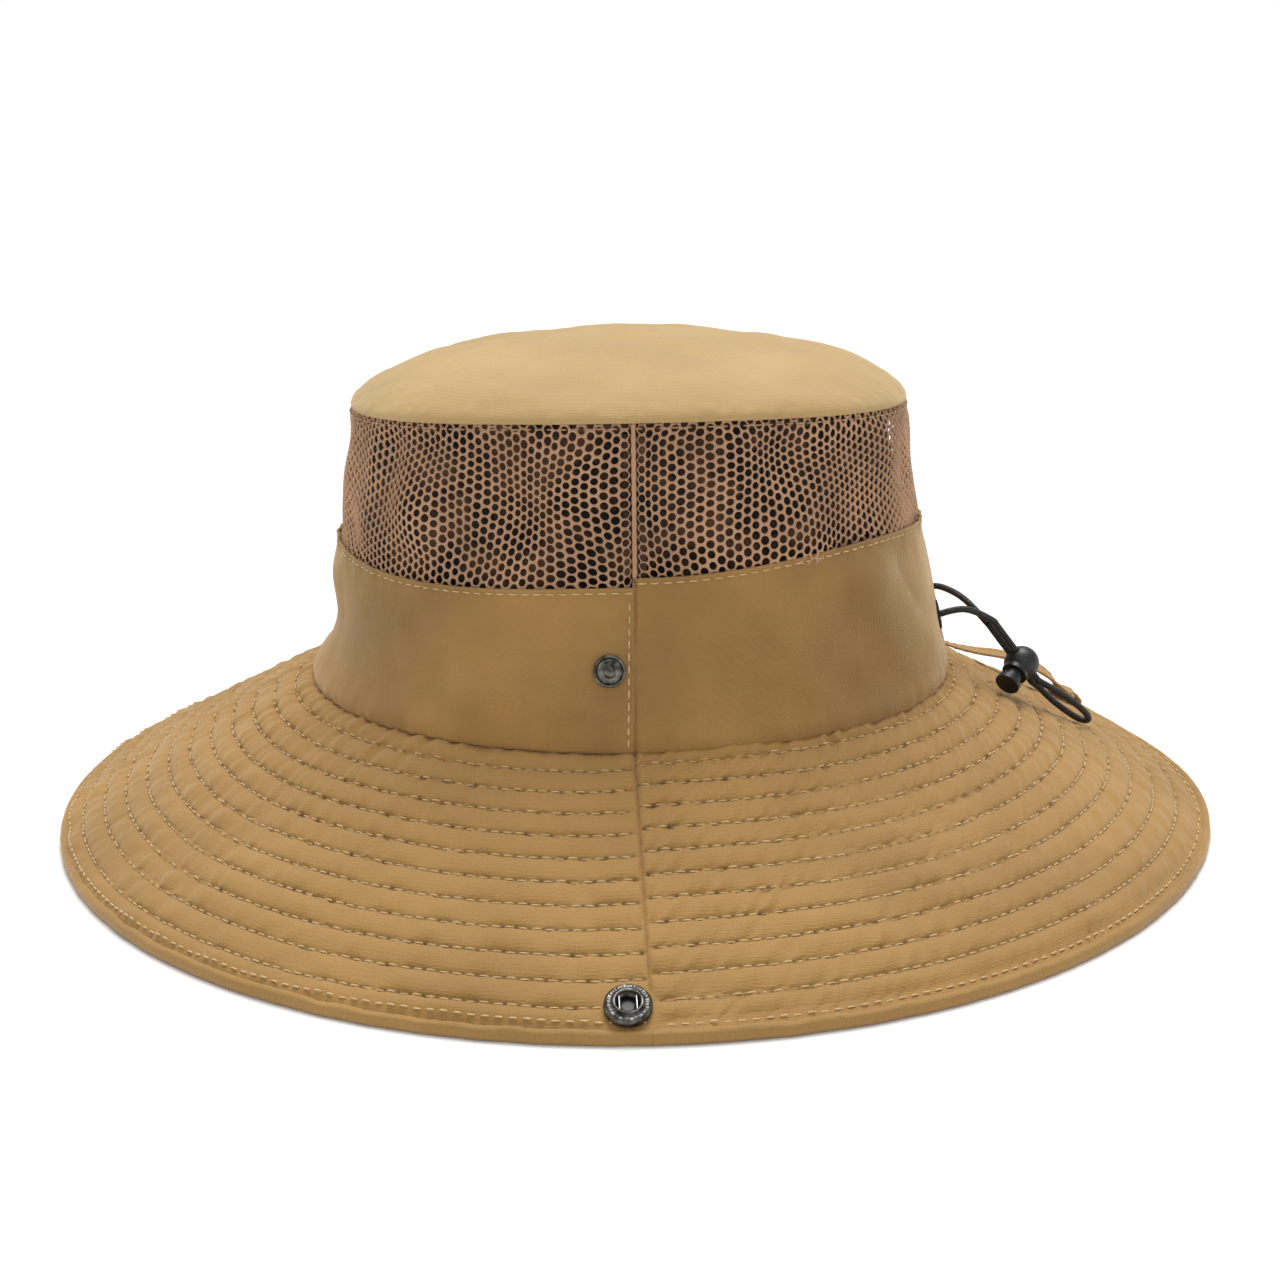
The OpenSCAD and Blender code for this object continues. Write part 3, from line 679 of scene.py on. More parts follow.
# each tie drops from its anchor inside the crown; a hint is the way a tie's upper face looks
TIE_DROP = [[88.3, -8, 47], [88.5, -8, 42], [89, -7.5, 30], [90.5, -4, 16], [93, 4, 6]]
DROP_HINTS = [[-1, 0, 0]] * 3 + [[-1, 0, 0.4], [-1, 0, 1], [-0.2, 0, 1]]
LEFT_TIE = TIE_DROP + [[97, 18, 1.2], [97, 38, 0.5], [90, 60, 0.5], [77, 80, 0.5], [58, 96, 0.5],
                       [34, 108, 0.5], [8, 113, 0.5], [-16, 111, 0.5]]
LEFT_HINTS = DROP_HINTS + [[0, 0, 1]] * 7
RIGHT_TIE = [[-x, y, z] for x, y, z in TIE_DROP] + [
    [-95, 20, 1.2], [-93, 50, 0.5], [-84, 84, 0.5], [-70, 118, 0.5], [-60, 144, 0.5], [-57, 156, 0.6],
    [-56.8, 164.8, 0.6], [-56.6, 169.2, 3.2], [-56, 165.6, 7.1], [-52.5, 159.5, 8.7], [-46, 158, 10],
    [-38, 158, 12.3], [-31, 154, 17], [-29.5, 148.5, 22.8], [-30, 141, 27.2], [-30.5, 132, 30.2],
    [-30.5, 122, 32], [-31.5, 112.5, 34.4], [-38, 105, 36.9], [-52, 97.5, 37], [-64, 89.5, 36.9]]
RIGHT_HINTS = [[-x, y, z] for x, y, z in DROP_HINTS] + [[0, 0, 1]] * 4 + [
    [0, -0.2, 1], [0, -0.6, 1], [0, -1, 0], [0, -0.5, -1], [0, -0.4, -1], [0.1, -0.4, -1],
    [0.1, -0.5, -1], [0, -0.5, -1], [-0.2, -0.5, -1], [-0.2, -0.4, -1], [-0.1, -0.4, -1], [0, -0.4, -1],
    [0.1, -0.4, -1], [0.15, -0.4, -1], [0.25, -0.4, -1], [0.3, -0.35, -1]]
TIE_W, TIE_T = 7.5, 0.9


def resampled(route, step):
    walked = np.concatenate([[0], np.cumsum(np.linalg.norm(np.diff(route, axis=0), axis=1))])
    at = np.linspace(0, walked[-1], int(walked[-1] / step) + 2)
    return np.stack([np.interp(at, walked, route[:, k]) for k in range(route.shape[1])], -1)


def braided_outline(count):
    """Round outlines whose strands cross over each other along the cord."""
    turns = full_turn(16)
    steps = np.arange(count)[:, None]
    relief = 0.045 * np.sin(4 * turns + steps * 0.9) * np.sin(4 * turns - steps * 0.9)
    radius = CORD_D / 2 * (0.97 + relief)
    return np.stack([radius * np.cos(turns), radius * np.sin(turns)], -1)


def add_spring():
    """The coil spring at the foot of the plunger's well; it is pressed flat with the plunger."""
    turns = np.radians(np.arange(0, COIL_TURNS * 360 + 1, 15.0))
    depth = np.linspace(0.25 - WELL_DEPTH, 1.65 - WELL_DEPTH, len(turns))
    round_it = np.cos(turns)[:, None] * CORD_DIR + np.sin(turns)[:, None] * STRAND_DIR
    route = LOCK_POS + depth[:, None] * PLUNGER_DIR + COIL_R * round_it
    piece = swept("lock_coil", route, PLUNGER_DIR, circle(COIL_WIRE_R, 8), "steel")
    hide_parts("lock_spring")
    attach(piece, "cord_lock")
    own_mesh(piece)
    return piece


def add_loop():
    route = spline(RIGHT_STRAND + strand_line(1) + LOOP_TURN + strand_line(-1)[::-1] + LEFT_STRAND[::-1], 8)
    route = resampled(route, 0.35)
    piece = swept("drawcord_braid", route, [0.15, 0.2, 1.0], braided_outline(len(route)), "cord")
    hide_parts("drawcord_loop")
    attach(piece, "hat")
    lock = [frame["nodes"][n] for n in ("lock_body", "lock_plunger")] + [add_spring()]


def tie_outline():
    """A flat strap with folded, slightly swollen edges."""
    half = TIE_W / 2
    across = np.array([0, 0.55, 0.8, 0.95, 1.0])
    thick = np.array([0.78, 0.78, 1.0, 0.85, 0.25]) * TIE_T / 2
    top = [(half * a, t) for a, t in zip(across, thick)]
    right = top[::-1]
    left = [(-a, t) for a, t in top[1:]]
    upper = right + left
    return np.array([(a, -t) for a, t in upper] + [(a, t) for a, t in upper[::-1]])


def add_tie(side, points, hints):
    route = spline(points, 6)
    aim = spline(hints, 6)
    piece = swept(f"chin_strap_{side}", route, aim, tie_outline(), "tan")
    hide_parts(f"chin_tie_{side}")
    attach(piece, "hat")
    both = resampled(np.concatenate([route, aim], 1), STITCH)
    line, aim = both[:, :3], both[:, 3:]
    across, up, ahead = frames_along(line, aim)
    rows = []
    for edge in (-1, 1):
        for face in (-1, 1):
            place = line + across * edge * (TIE_W / 2 - 1.1) + up * face * TIE_T * 0.44
            rows.append((place, ahead, up * face))
    seam = stitches(f"chin_strap_stitches_{side}", rows, 2.4, 0.2, 0.12)
    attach(seam, "hat")


add_loop()
add_tie("left", LEFT_TIE, LEFT_HINTS)
add_tie("right", RIGHT_TIE, RIGHT_HINTS)


# ---- the brim ----

def quilt_rows(samples):
    """Grid rows that follow the quilting: (row number, part of the way to the next)."""
    parts = np.concatenate([[0, 0.06, 0.13], np.linspace(0.22, 0.78, samples), [0.87, 0.94]])
    rows = [(-1, t) for t in np.linspace(0, 1, 6)[:-1]]
    rows += [(k, t) for k in range(ROWS - 1) for t in parts]
    rows += [(ROWS - 1, t) for t in np.linspace(0, 1, 9)]
    return np.array(rows)


def quilt_grid(columns, samples):
    """(phi, v, stitch and row numbers) of a grid whose rows follow the quilting."""
    rows = quilt_rows(samples)
    phi = np.broadcast_to(columns, (len(rows), len(columns)))
    k, t = rows[:, :1], rows[:, 1:]
    inner = mix(-2.0, first_row(phi), t)
    last = row_v(phi, ROWS - 1)
    outer = mix(last, BRIM_V - 0.9, t)
    v = np.where(k < 0, inner, np.where(k == ROWS - 1, outer, row_v(phi, k + t)))
    number = np.where(k < 0, t - 1, k + t)
    around = phi / 360 * row_count(np.clip(np.round(number), 0, ROWS - 1))
    return phi, v, np.stack([around, np.broadcast_to(number, phi.shape)], -1)


def columns_between(a, b, step):
    """Angles from a to b, closer together near a side seam."""
    near = np.array([0, 0.12, 0.25, 0.4, 0.6, 0.85, 1.15, 1.5])
    plain = np.linspace(a, b, int(round(abs(b - a) / step)) + 1)
    angles = list(plain)
    for end in (a, b):
        if abs(rear_angle(end)) < 0.01:
            inside = 1 if end == a else -1
            angles = [p for p in angles if abs(p - end) > near[-1] + 0.2] + list(end + inside * near)
    return np.array(sorted(angles))


QUARTERS = {
    "front_left": (270, 360 - SEAM_PHI, "left"),
    "front_right": (180 + SEAM_PHI, 270, "right"),
    "rear_left": (-SEAM_PHI, 90, "left"),
    "rear_right": (90, 180 + SEAM_PHI, "right"),
}


def bend(piece):
    """Bakes the piece's placement into its mesh."""
    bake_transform(piece)


def skin(phi, v, top):
    """The quilted surface, above or below."""
    plain = brim(phi, v, 0 if top else BRIM_T)
    up = normals_of(brim(phi, v))
    up = np.where(up[..., 2:] < 0, -up, up)
    if top:
        return plain + up * quilting(phi, v)[..., None], up
    return plain - up * np.clip(quilting(phi, v, -1), -0.3, 0.3)[..., None], up


def extended(columns):
    """The columns with one more at each end, so that joined pieces share their normals."""
    return np.concatenate([[2 * columns[0] - columns[1]], columns, [2 * columns[-1] - columns[-2]]])


def add_skin(quarter, top):
    a, b, side = QUARTERS[quarter]
    columns = extended(columns_between(a, b, 0.5 if top else 1.0))
    phi, v, place = quilt_grid(columns, 4 if top else 2)
    surface, up = skin(phi, v, top)
    facing = normals_of(surface)
    facing = np.where((facing * up).sum(-1, keepdims=True) < 0, -facing, facing)
    way = 1 if top else -1
    inner = brim(phi, v, SKIN_T if top else BRIM_T - SKIN_T + 0.05)
    cut = (slice(None), slice(1, -1))
    for end, at in ((0, a), (-1, b)):
        if abs(rear_angle(at)) < 0.01:
            facing[:, (1, -2)[end]] = facing[:, (2, -3)[end]]
    name = ("brim_top_" if top else "brim_under_") + quarter
    piece = shell(name, surface[cut], inner[cut], "quilt", uv=place[cut],
                  normals=(way * facing)[cut], flip=top)
    half, _ = quarter.split("_")
    nodes = ["brim_top_" + half, "side_top_" + side, "fold_zone_" + side] if top else \
        ["brim_under_" + half, "side_under_" + side]
    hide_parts(*nodes)
    bend(piece)
    return piece


def stitch_angles(a, b, count):
    """The middles of the stitches between two angles, of a whole row's count."""
    return (np.arange(np.ceil(a * count / 360), np.floor(b * count / 360)) + 0.5) * 360 / count


def brim_row(turn, v, lift):
    """(centres, directions, normals) of stitches that far over the brim's cloth."""
    surface = brim(np.stack([turn - 0.3, turn, turn + 0.3]), v)
    across = brim(turn, v + 0.3) - brim(turn, v - 0.3)
    ahead = surface[2] - surface[0]
    normal = unit(np.cross(across, ahead))
    return surface[1] + normal * (quilting(turn, v) + lift)[:, None], ahead, normal


def add_brim_stitches(quarter):
    a, b, side = QUARTERS[quarter]
    lines = []
    for row in range(ROWS):
        turn = stitch_angles(a, b, float(row_count(row)))
        turn = turn[(turn > a + 0.35) & (turn < b - 0.35)]
        centre, ahead, normal = brim_row(turn, row_v(turn, row), 0.2)
        clear = hardware_mask(centre) > 0.25
        lines.append((centre[clear], ahead[clear], normal[clear]))
    piece = stitches(f"brim_stitches_{quarter}", lines, 2.7, 0.22, 0.22)
    bend(piece)


def rim_point(phi, inward, z):
    """A point of the bound edge, inward from the rim."""
    turn = np.radians(phi)
    out = unit(np.stack([np.cos(turn) / RIM_B, np.sin(turn) / RIM_A, 0 * turn], -1))
    edge = rim_pull(phi)[..., None] * np.stack([RIM_B * np.cos(turn), RIM_A * np.sin(turn), 0 * turn], -1)
    return edge + np.stack([0 * turn, 0 * turn, rim_lift(phi) + z], -1) - out * np.asarray(inward)[..., None]


binding_noise = field(31, 9)


def add_binding(quarter):
    """The bound edge: a rounded bar with a flat foot, drawn in at each stitch."""
    a, b, side = QUARTERS[quarter]
    columns = columns_between(a, b, 0.5)
    turns = np.radians(np.arange(14) * 360 / 14 - 90)
    power = lambda value, p: np.sign(value) * np.abs(value) ** p
    inward = BINDING_W / 2 - BINDING_W / 2 * power(np.cos(turns), 0.75)
    z = 1.85 + 1.85 * power(np.sin(turns), 0.62)
    phi = np.broadcast_to(columns[:, None], (len(columns), len(turns)))
    swell = 0.10 * np.abs(np.sin(np.radians(phi) * 181 / STITCH * np.pi / 2)) \
        + 0.10 * binding_noise(rim_point(phi, 0 * phi, 0 * phi))
    points = rim_point(phi, np.broadcast_to(inward, phi.shape) + swell * 0.6,
                       np.broadcast_to(z, phi.shape) + np.where(z > 1, swell, 0))
    faces = [f[::-1] for f in tube_faces(len(columns), len(turns))]
    piece = add_mesh(f"edge_binding_{quarter}", points, faces, "tan")
    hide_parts("edge_binding", f"side_binding_{side}")
    bend(piece)
    turn = stitch_angles(a, b, EDGE_STITCHES)
    row = brim_row(turn, BRIM_V - BINDING_W - 1.1 + 0 * turn, 0.3)
    line = stitches(f"edge_stitches_{quarter}", [row], 2.4, 0.24, 0.14)
    bend(line)


for quarter in QUARTERS:
    add_skin(quarter, True)
    add_skin(quarter, False)
    add_brim_stitches(quarter)
    add_binding(quarter)


# ---- the crown ----

HALVES = {"front": (180 + SEAM_PHI, 360 - SEAM_PHI), "rear": (-SEAM_PHI, 180 + SEAM_PHI)}
band_noise = field(41, 62)
band_fold = field(42, 24)
hem_noise = field(43, 5.5)
mesh_noise = field(44, 40)
mesh_fold = field(45, 17)
mesh_drift = [field(46, 42), field(47, 42)]


def band_top(phi):
    """The line between band and mesh: soft cloth, low on the front half and high on the rear."""
    behind = rear_angle(phi)
    swing = np.sin(np.radians(2 * (phi - 90))) ** 2
    return BAND_Z + np.where(behind < 0, -1.2 - 2.4 * swing, 1.3 + 3.2 * swing)


def fixed_places(points):
    """1 beside a stud or an eyelet, where the band keeps to its CAD place."""
    near = 0.0
    for node in ("stud_left", "stud_right", "eyelet_left", "eyelet_right"):
        lo, hi = box(node)
        far = np.linalg.norm(points - (lo + hi) / 2, axis=-1)
        near = np.maximum(near, 1 - smooth(6, 14, far))
    return near


def band_surface(phi, z, off=0.35):
    plain = crown(phi, z, off)
    up = normals_of(plain)
    behind = rear_angle(phi)
    arc = seam_arc(phi, BAND_R)
    down = band_top(phi) - z
    rise = z - seam_height(phi)
    height = 0.95 * band_noise(plain) + 0.42 * band_fold(plain)
    height = np.maximum(height * smooth(0, 12, down) * smooth(0, 16, rise), -0.45)
    ripple = hem_noise(plain * [1, 1, 0.35])
    height = height + 0.5 * bell(down, 3.0) - 0.35 * bell(down - 1.5, 0.55)
    height = height + 0.16 * ripple * np.exp(-down / 5)
    height = height - 1.1 * np.exp(-rise / 1.1) + 0.35 * bell(rise - 4, 3)
    height = height + 0.20 * ripple * np.exp(-rise / 5)
    ahead = behind < 0
    lap = 0.40 * (1 - smooth(2.0, 3.2, arc))
    height = height + np.where(ahead, lap, 0.25 * bell(arc - 1.6, 1.2))
    height = height - 0.55 * bell(arc, 0.5)
    height = height - np.where(ahead, 0.30 * bell(arc - 1.5, 0.5), 0)
    height = height + 0.14 * ripple * np.exp(-arc / 4)
    height = height - 1.3 * np.exp(-((z - 77) / 6) ** 2 - (arc / 7) ** 2)
    height = mix(height, 0.0, fixed_places(plain))
    return plain + up * height[..., None], up


def add_band(half):
    a, b = HALVES[half]
    columns = columns_between(a, b, 0.75)
    hem = [0.92, 0.935, 0.95, 0.962, 0.972, 0.982, 0.991, 1]
    t = np.concatenate([[0, 0.01, 0.025, 0.045], np.linspace(0.07, 0.90, 40), hem])
    phi = np.broadcast_to(columns, (len(t), len(columns)))
    z = mix(seam_height(phi) + 0.1, band_top(phi), t[:, None])
    surface, up = band_surface(phi, z)
    piece = shell(f"crown_band_{half}", surface, surface - 0.75 * up, "band")
    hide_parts(f"band_{half}")
    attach(piece, "hat")
    length = np.radians(b - a) * (BAND_A + BAND_B) / 2
    # the hem's topstitching
    count = int(length / STITCH)
    turn = a + (np.arange(count) + 0.5) * (b - a) / count
    phi = beside(turn)[None]
    z = band_top(turn)[None, :, None] - 1.5 + np.array([-0.3, 0, 0.3])[:, None, None] + 0 * phi
    flat = band_surface(phi.reshape(1, -1).repeat(3, 0), z.reshape(3, -1))[0].reshape(3, count, 3, 3)
    ahead = flat[1, :, 2] - flat[1, :, 0]
    normal = unit(np.cross(ahead, flat[2, :, 1] - flat[0, :, 1]))
    centre = flat[1, :, 1] + normal * 0.12
    lines = [(centre, ahead, normal)]
    if half == "front":
        for end, way in ((a, 1), (b, -1)):
            z = np.arange(SEAM_Z + 3, BAND_Z - 4, STITCH)
            turn = end + way * np.degrees(1.5 / BAND_R) + 0 * z
            grid = beside(turn)
            flat = band_surface(grid, z[:, None] + 0 * grid)[0]
            up = unit(np.gradient(flat[:, 1], axis=0))
            normal = unit(np.cross(flat[:, 2] - flat[:, 0], up))
            lines.append((flat[:, 1] + normal * 0.1, up, normal))
    seam = stitches(f"band_stitches_{half}", lines, 2.6, 0.24, 0.15)
    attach(seam, "hat")


NET_PITCH = 2.7
HOLE_R = 1.08


def tip_edge(phi):
    """The tip's seam hangs lower at the front and the back."""
    return TIP_Z - 5.0 * np.sin(np.radians(phi)) ** 2


def net_surface(phi, z, off):
    plain = crown(phi, z, off - 0.45)
    slack = smooth(0, 9, tip_edge(phi) - z) * smooth(0, 9, z - BAND_Z + 4)
    arc = seam_arc(phi, NET_R)
    height = (0.8 * mesh_noise(plain) + 0.55 * mesh_fold(plain * [1, 1, 0.6])) * slack
    height = height - 0.3 * bell(z - tip_edge(phi), 3) - 0.4 * bell(arc, 2.5) * slack
    turn = np.radians(phi)
    out = np.stack([np.cos(turn), np.sin(turn), 0 * turn], -1)
    return plain + out * height[..., None]


def drifted(phi, z):
    """The net's threads wander, but not at its edges and seams."""
    plain = crown(phi, z)
    free = smooth(0, 8, tip_edge(phi) - z) * smooth(0, 5, np.abs(rear_angle(phi)))
    return phi + 0.75 * free * mesh_drift[0](plain), z + 1.0 * free * mesh_drift[1](plain)


def add_net(half):
    """The mesh panel, with a real hole in each cell of a hexagonal lattice."""
    a, b = HALVES[half]
    radius = (BAND_A + BAND_B + TIP_A + TIP_B) / 4
    columns = int(round(np.radians(b - a) * radius / (NET_PITCH * np.sqrt(3) / 2)))
    step = (b - a) / columns
    floor = BAND_Z - 5.0
    rows = int((TIP_Z - floor) / NET_PITCH) + 2
    i, j = np.meshgrid(np.arange(columns + 1), np.arange(rows), indexing="ij")
    across = i.ravel().astype(float)
    centre_z = floor + (j.ravel() + 0.5 * (i.ravel() % 2)) * NET_PITCH
    rng = np.random.default_rng(51 if half == "front" else 52)
    hole = HOLE_R * rng.uniform(0.9, 1.06, len(across))
    turns = full_turn(12)
    corner = np.arange(12) % 2 == 0
    border_r = np.where(corner, NET_PITCH / np.sqrt(3), NET_PITCH / 2)
    wide = NET_PITCH * np.sqrt(3) / 2
    border_u = across[:, None] + border_r * np.cos(turns) / wide
    border_z = centre_z[:, None] + border_r * np.sin(turns)
    shift = rng.normal(0, 0.05, (len(across), 2))
    hole_u = across[:, None] + (hole[:, None] * np.cos(turns) + shift[:, :1]) / wide
    hole_z = centre_z[:, None] + hole[:, None] * np.sin(turns) * 1.04 + shift[:, 1:]
    inside = (across > 0.4) & (across < columns - 0.4)
    lowest = band_top((a + across * step) % 360) - 3.2
    inside &= (centre_z > lowest) & (centre_z < tip_edge(a + across * step) + 0.6)
    border_u, border_z, hole_u, hole_z = (x[inside] for x in (border_u, border_z, hole_u, hole_z))
    border_u = np.clip(border_u, 0, columns)
    border_z = np.minimum(border_z, tip_edge(a + border_u * step) - 0.2)
    hole_z = np.minimum(hole_z, tip_edge(a + hole_u * step) - 0.35)
    keys = np.round(np.stack([border_u.ravel() * 100, border_z.ravel() * 100], 1)).astype(int)
    _, first, shared = np.unique(keys, axis=0, return_index=True, return_inverse=True)
    shared = shared.reshape(border_u.shape)
    corner = np.broadcast_to(corner, border_u.shape).ravel()[first]
    u, z = border_u.ravel()[first], border_z.ravel()[first]
    cells = len(hole_u)
    border_at = drifted(a + u * step, z)
    hole_at = drifted(a + hole_u * step, hole_z)
    border_out = net_surface(*border_at, np.where(corner, 0.12, 0.42))
    border_in = net_surface(*border_at, -0.40)
    hole_out = net_surface(*hole_at, -0.08).reshape(-1, 3)
    hole_in = net_surface(*hole_at, -0.32).reshape(-1, 3)
    points = np.concatenate([border_out, border_in, hole_out, hole_in])
    n, m = len(border_out), cells * 12
    ring = np.arange(m).reshape(cells, 12)
    after = np.roll(ring, -1, 1)
    shared_after = np.roll(shared, -1, 1)
    faces = np.concatenate([
        np.stack([shared, shared_after, after + 2 * n, ring + 2 * n], -1).reshape(-1, 4),
        np.stack([ring + 2 * n + m, after + 2 * n + m, shared_after + n, shared + n], -1).reshape(-1, 4),
        np.stack([ring + 2 * n, after + 2 * n, after + 2 * n + m, ring + 2 * n + m], -1).reshape(-1, 4)])
    # the free borders get a rim between their outer and inner edge
    edges = np.stack([shared, shared_after], -1).reshape(-1, 2)
    ordered = np.sort(edges, 1)
    _, where, times = np.unique(ordered, axis=0, return_index=True, return_counts=True)
    free = edges[where[times == 1]]
    free = free[free[:, 0] != free[:, 1]]
    faces = np.concatenate([faces, np.stack([free[:, 1], free[:, 0], free[:, 0] + n, free[:, 1] + n], 1)])
    faces = [list(dict.fromkeys(f)) for f in faces.tolist()]
    faces = [f for f in faces if len(f) > 2]
    piece = add_mesh(f"crown_mesh_{half}", points, faces, "mesh")
    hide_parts(f"mesh_{half}")
    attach(piece, "hat")


def add_mesh_rib(side):
    """The narrow sewn rib over a side seam of the mesh."""
    z = np.arange(BAND_Z - 2, TIP_Z - 0.3, 0.7)
    width = 0.6 + 0.08 * np.sin(z * 2 * np.pi / STITCH)
    across = np.linspace(-1, 1, 7)
    turn = SEAM_AT[side] + np.degrees(across[None] * width[:, None] / NET_R)
    height = 0.3 + 0.4 * (1 - across ** 2)[None] + 0 * z[:, None]
    outer = net_surface(turn, z[:, None] + 0 * turn, height)
    inner = net_surface(turn, z[:, None] + 0 * turn, -0.1)
    piece = shell(f"mesh_rib_{side}", outer, inner, "mesh")
    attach(piece, "hat")


tip_noise = field(61, 58)
tip_fold = field(62, 20)
tip_gather = field(63, 7.5)


def add_tip():
    """The domed tip: soft cloth that rolls over the top of the mesh."""
    edge = np.array([(0.0, -0.9), (0.35, -0.75), (0.5, -0.2), (0.5, 0.3)])
    inward = np.concatenate([np.linspace(0.004, 0.12, 14), np.linspace(0.145, 0.985, 34)])
    turn = np.arange(0, 360, 0.75)
    r = np.concatenate([np.ones(len(edge)), 1 - inward])[:, None]
    out = np.concatenate([edge[:, 0], 0.5 * np.exp(-inward * TIP_A / 4)])[:, None]
    lift = np.concatenate([edge[:, 1], 0.3 * np.exp(-inward * TIP_A / 4)])[:, None]
    angle = np.radians(turn)[None]
    foot = tip_edge(turn)[None]
    z = foot + lift + (TOP_Z - foot) * (1 - r ** 2.4) ** 0.62
    x = (TIP_B * r + out) * np.cos(angle)
    y = (TIP_A * r + out) * np.sin(angle) + CROWN_SHIFT
    plain = np.stack([x, y, z], -1)
    up = normals_of(plain, True)
    away = (1 - r) * TIP_A
    height = (0.55 * tip_noise(plain) + 0.30 * tip_fold(plain)) * smooth(0, 14, away)
    height = height + 0.22 * tip_gather(plain) * np.exp(-away / 5) * smooth(-0.5, 2, away)
    outer = plain + up * height[..., None]
    inner = outer - up * 0.75
    count, cols = outer.shape[:2]
    _, quads = grid_quads(count, cols, True)
    n = count * cols
    index = np.arange(cols)
    after = np.roll(index, -1)
    base = np.stack([after, index, index + n, after + n], 1)
    crest = outer[-1].mean(0) + [0, 0, 0.02]
    points = np.concatenate([outer.reshape(-1, 3), inner.reshape(-1, 3), [crest, crest - [0, 0, 0.75]]])
    last = (count - 1) * cols
    fan = np.stack([last + index, last + after, 0 * index + 2 * n], 1)
    back = np.stack([n + last + after, n + last + index, 0 * index + 2 * n + 1], 1)
    faces = quads.tolist() + (quads[:, ::-1] + n).tolist() + base.tolist() + fan.tolist() + back.tolist()
    piece = add_mesh("crown_tip_cloth", points, faces, "tip")
    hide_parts("crown_tip")
    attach(piece, "hat")
    # stitches in the mesh just under the tip, in thread darkened as painted shade
    count = 158
    turn = (np.arange(count) + 0.5) * 360 / count
    grid = beside(turn)
    flat = net_surface(grid, tip_edge(grid) - 2.3, 0.45)
    ahead = flat[:, 2] - flat[:, 0]
    normal = unit(np.cross(ahead, [0, 0, 1.0]))
    seam = stitches("tip_stitches", [(flat[:, 1], ahead, normal)], 2.5, 0.22, 0.12, "painted_shade_thread")
    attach(seam, "hat")


def add_lining():
    """The sweatband inside the crown's foot, and the drawcord in its channel."""
    columns = np.arange(0, 360, 2.0)
    z = np.linspace(0, 1, 24)[:, None]
    phi = np.broadcast_to(columns, (24, len(columns)))
    height = mix(seam_height(phi) + 0.5, SEAM_Z + 32, z)
    puff = 0.3 * np.sin(z * np.pi * 5) ** 2
    outer = crown(phi, height, -SKIN_T - 3.4 - 0.1)
    inner = crown(phi, height, -SKIN_T - 3.4 - 1.0 - puff)
    piece = shell("sweatband_lining", outer, inner, "sweatband", wrap=True)
    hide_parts("sweatband")
    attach(piece, "hat")
    phi = np.linspace(99.5, 440.5, 200)
    route = crown(phi, 59.0 + 0 * phi, -SKIN_T - 1.7)
    cord = swept("drawcord_hidden", route, [0, 0, 1.0], circle(CORD_D / 2, 10), "cord")
    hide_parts("drawcord_channel")
    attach(cord, "hat")


def net_strip(name, phi, z, outer, inner, wrap=False):
    """A strip behind the mesh, coloured with painted shade."""
    return shell(name, net_surface(phi, z, outer), net_surface(phi, z, inner), "painted_shade_backing", wrap)


def add_net_lining():
    """An inner net behind the mesh at each side, and the tapes over the mesh's seams, both coloured with
    painted shade.
    """
    for side, middle in (("left", 0), ("right", 180)):
        phi = np.broadcast_to(middle + np.linspace(-80, 80, 81), (22, 81))
        z = mix(BAND_Z - 6, tip_edge(phi) - 2.5, np.linspace(0, 1, 22)[:, None])
        piece = net_strip(f"inner_lining_painted_shade_{side}", phi, z, -5.5, -6.1)
        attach(piece, "hat")
        z = np.linspace(BAND_Z + 1, TIP_Z - 4, 40)[:, None]
        phi = SEAM_AT[side] + np.degrees(np.linspace(-3, 3, 9)[None] / 80) + 0 * z
        piece = net_strip(f"seam_tape_{side}", phi, z, -0.9, -1.4)
        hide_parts(f"mesh_seam_tape_{side}")
        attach(piece, "hat")
    phi = np.broadcast_to(np.arange(0, 360, 3.0), (5, 120))
    z = tip_edge(phi) - np.linspace(3.4, 0.6, 5)[:, None]
    piece = net_strip("seam_tape_tip", phi, z, -0.9, -1.4, True)
    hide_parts("tip_seam_tape")
    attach(piece, "hat")


add_lining()
add_net_lining()
for half in HALVES:
    add_band(half)
    add_net(half)
for side in ("left", "right"):
    add_mesh_rib(side)
add_tip()

# ---- snaps ----

WALL_SLOPE = np.arctan((SEAM_B - BAND_B) / (BAND_Z - SEAM_Z))
BRIM_SLOPE = np.arctan((SEAM_Z - BRIM_T) / (RIM_B - SEAM_B))
SNAP_Y = -12.0
STUD_Z = 66.0
SOCKET_X = 170.5


def placed(local, at, tilt, side):
    """Turns local points so that their Z axis leans by tilt from upright towards +X, then moves them."""
    x, y, z = local[..., 0], local[..., 1], local[..., 2]
    turned = np.stack([x * np.cos(tilt) + z * np.sin(tilt), y, -x * np.sin(tilt) + z * np.cos(tilt)], -1) + at
    return turned * [side, 1, 1]


def lathe(name, profile, at, tilt, side, material, segments, relief=None):
    """A turned piece; relief may move its points in and out round the edge."""
    profile = np.asarray(profile, float)
    turns = full_turn(segments)
    r = profile[:, :1] + 0 * turns
    z = profile[:, 1:] + 0 * turns
    if relief:
        r, z = relief(r, z, turns[None])
    local = np.stack([r * np.cos(turns), r * np.sin(turns), z], -1)
    points = placed(local, at, tilt, side)
    faces = tube_faces(len(profile), segments)
    if side < 0:
        faces = [f[::-1] for f in faces]
    return add_mesh(name, points, faces, material)


def stud_place():
    a, b, shift = (mix(p, q, (STUD_Z - SEAM_Z) / (BAND_Z - SEAM_Z)) for p, q in
                   ((SEAM_A, BAND_A), (SEAM_B, BAND_B), (SEAM_SHIFT, CROWN_SHIFT)))
    return np.array([b * np.sqrt(1 - ((SNAP_Y - shift) / a) ** 2), SNAP_Y, STUD_Z])


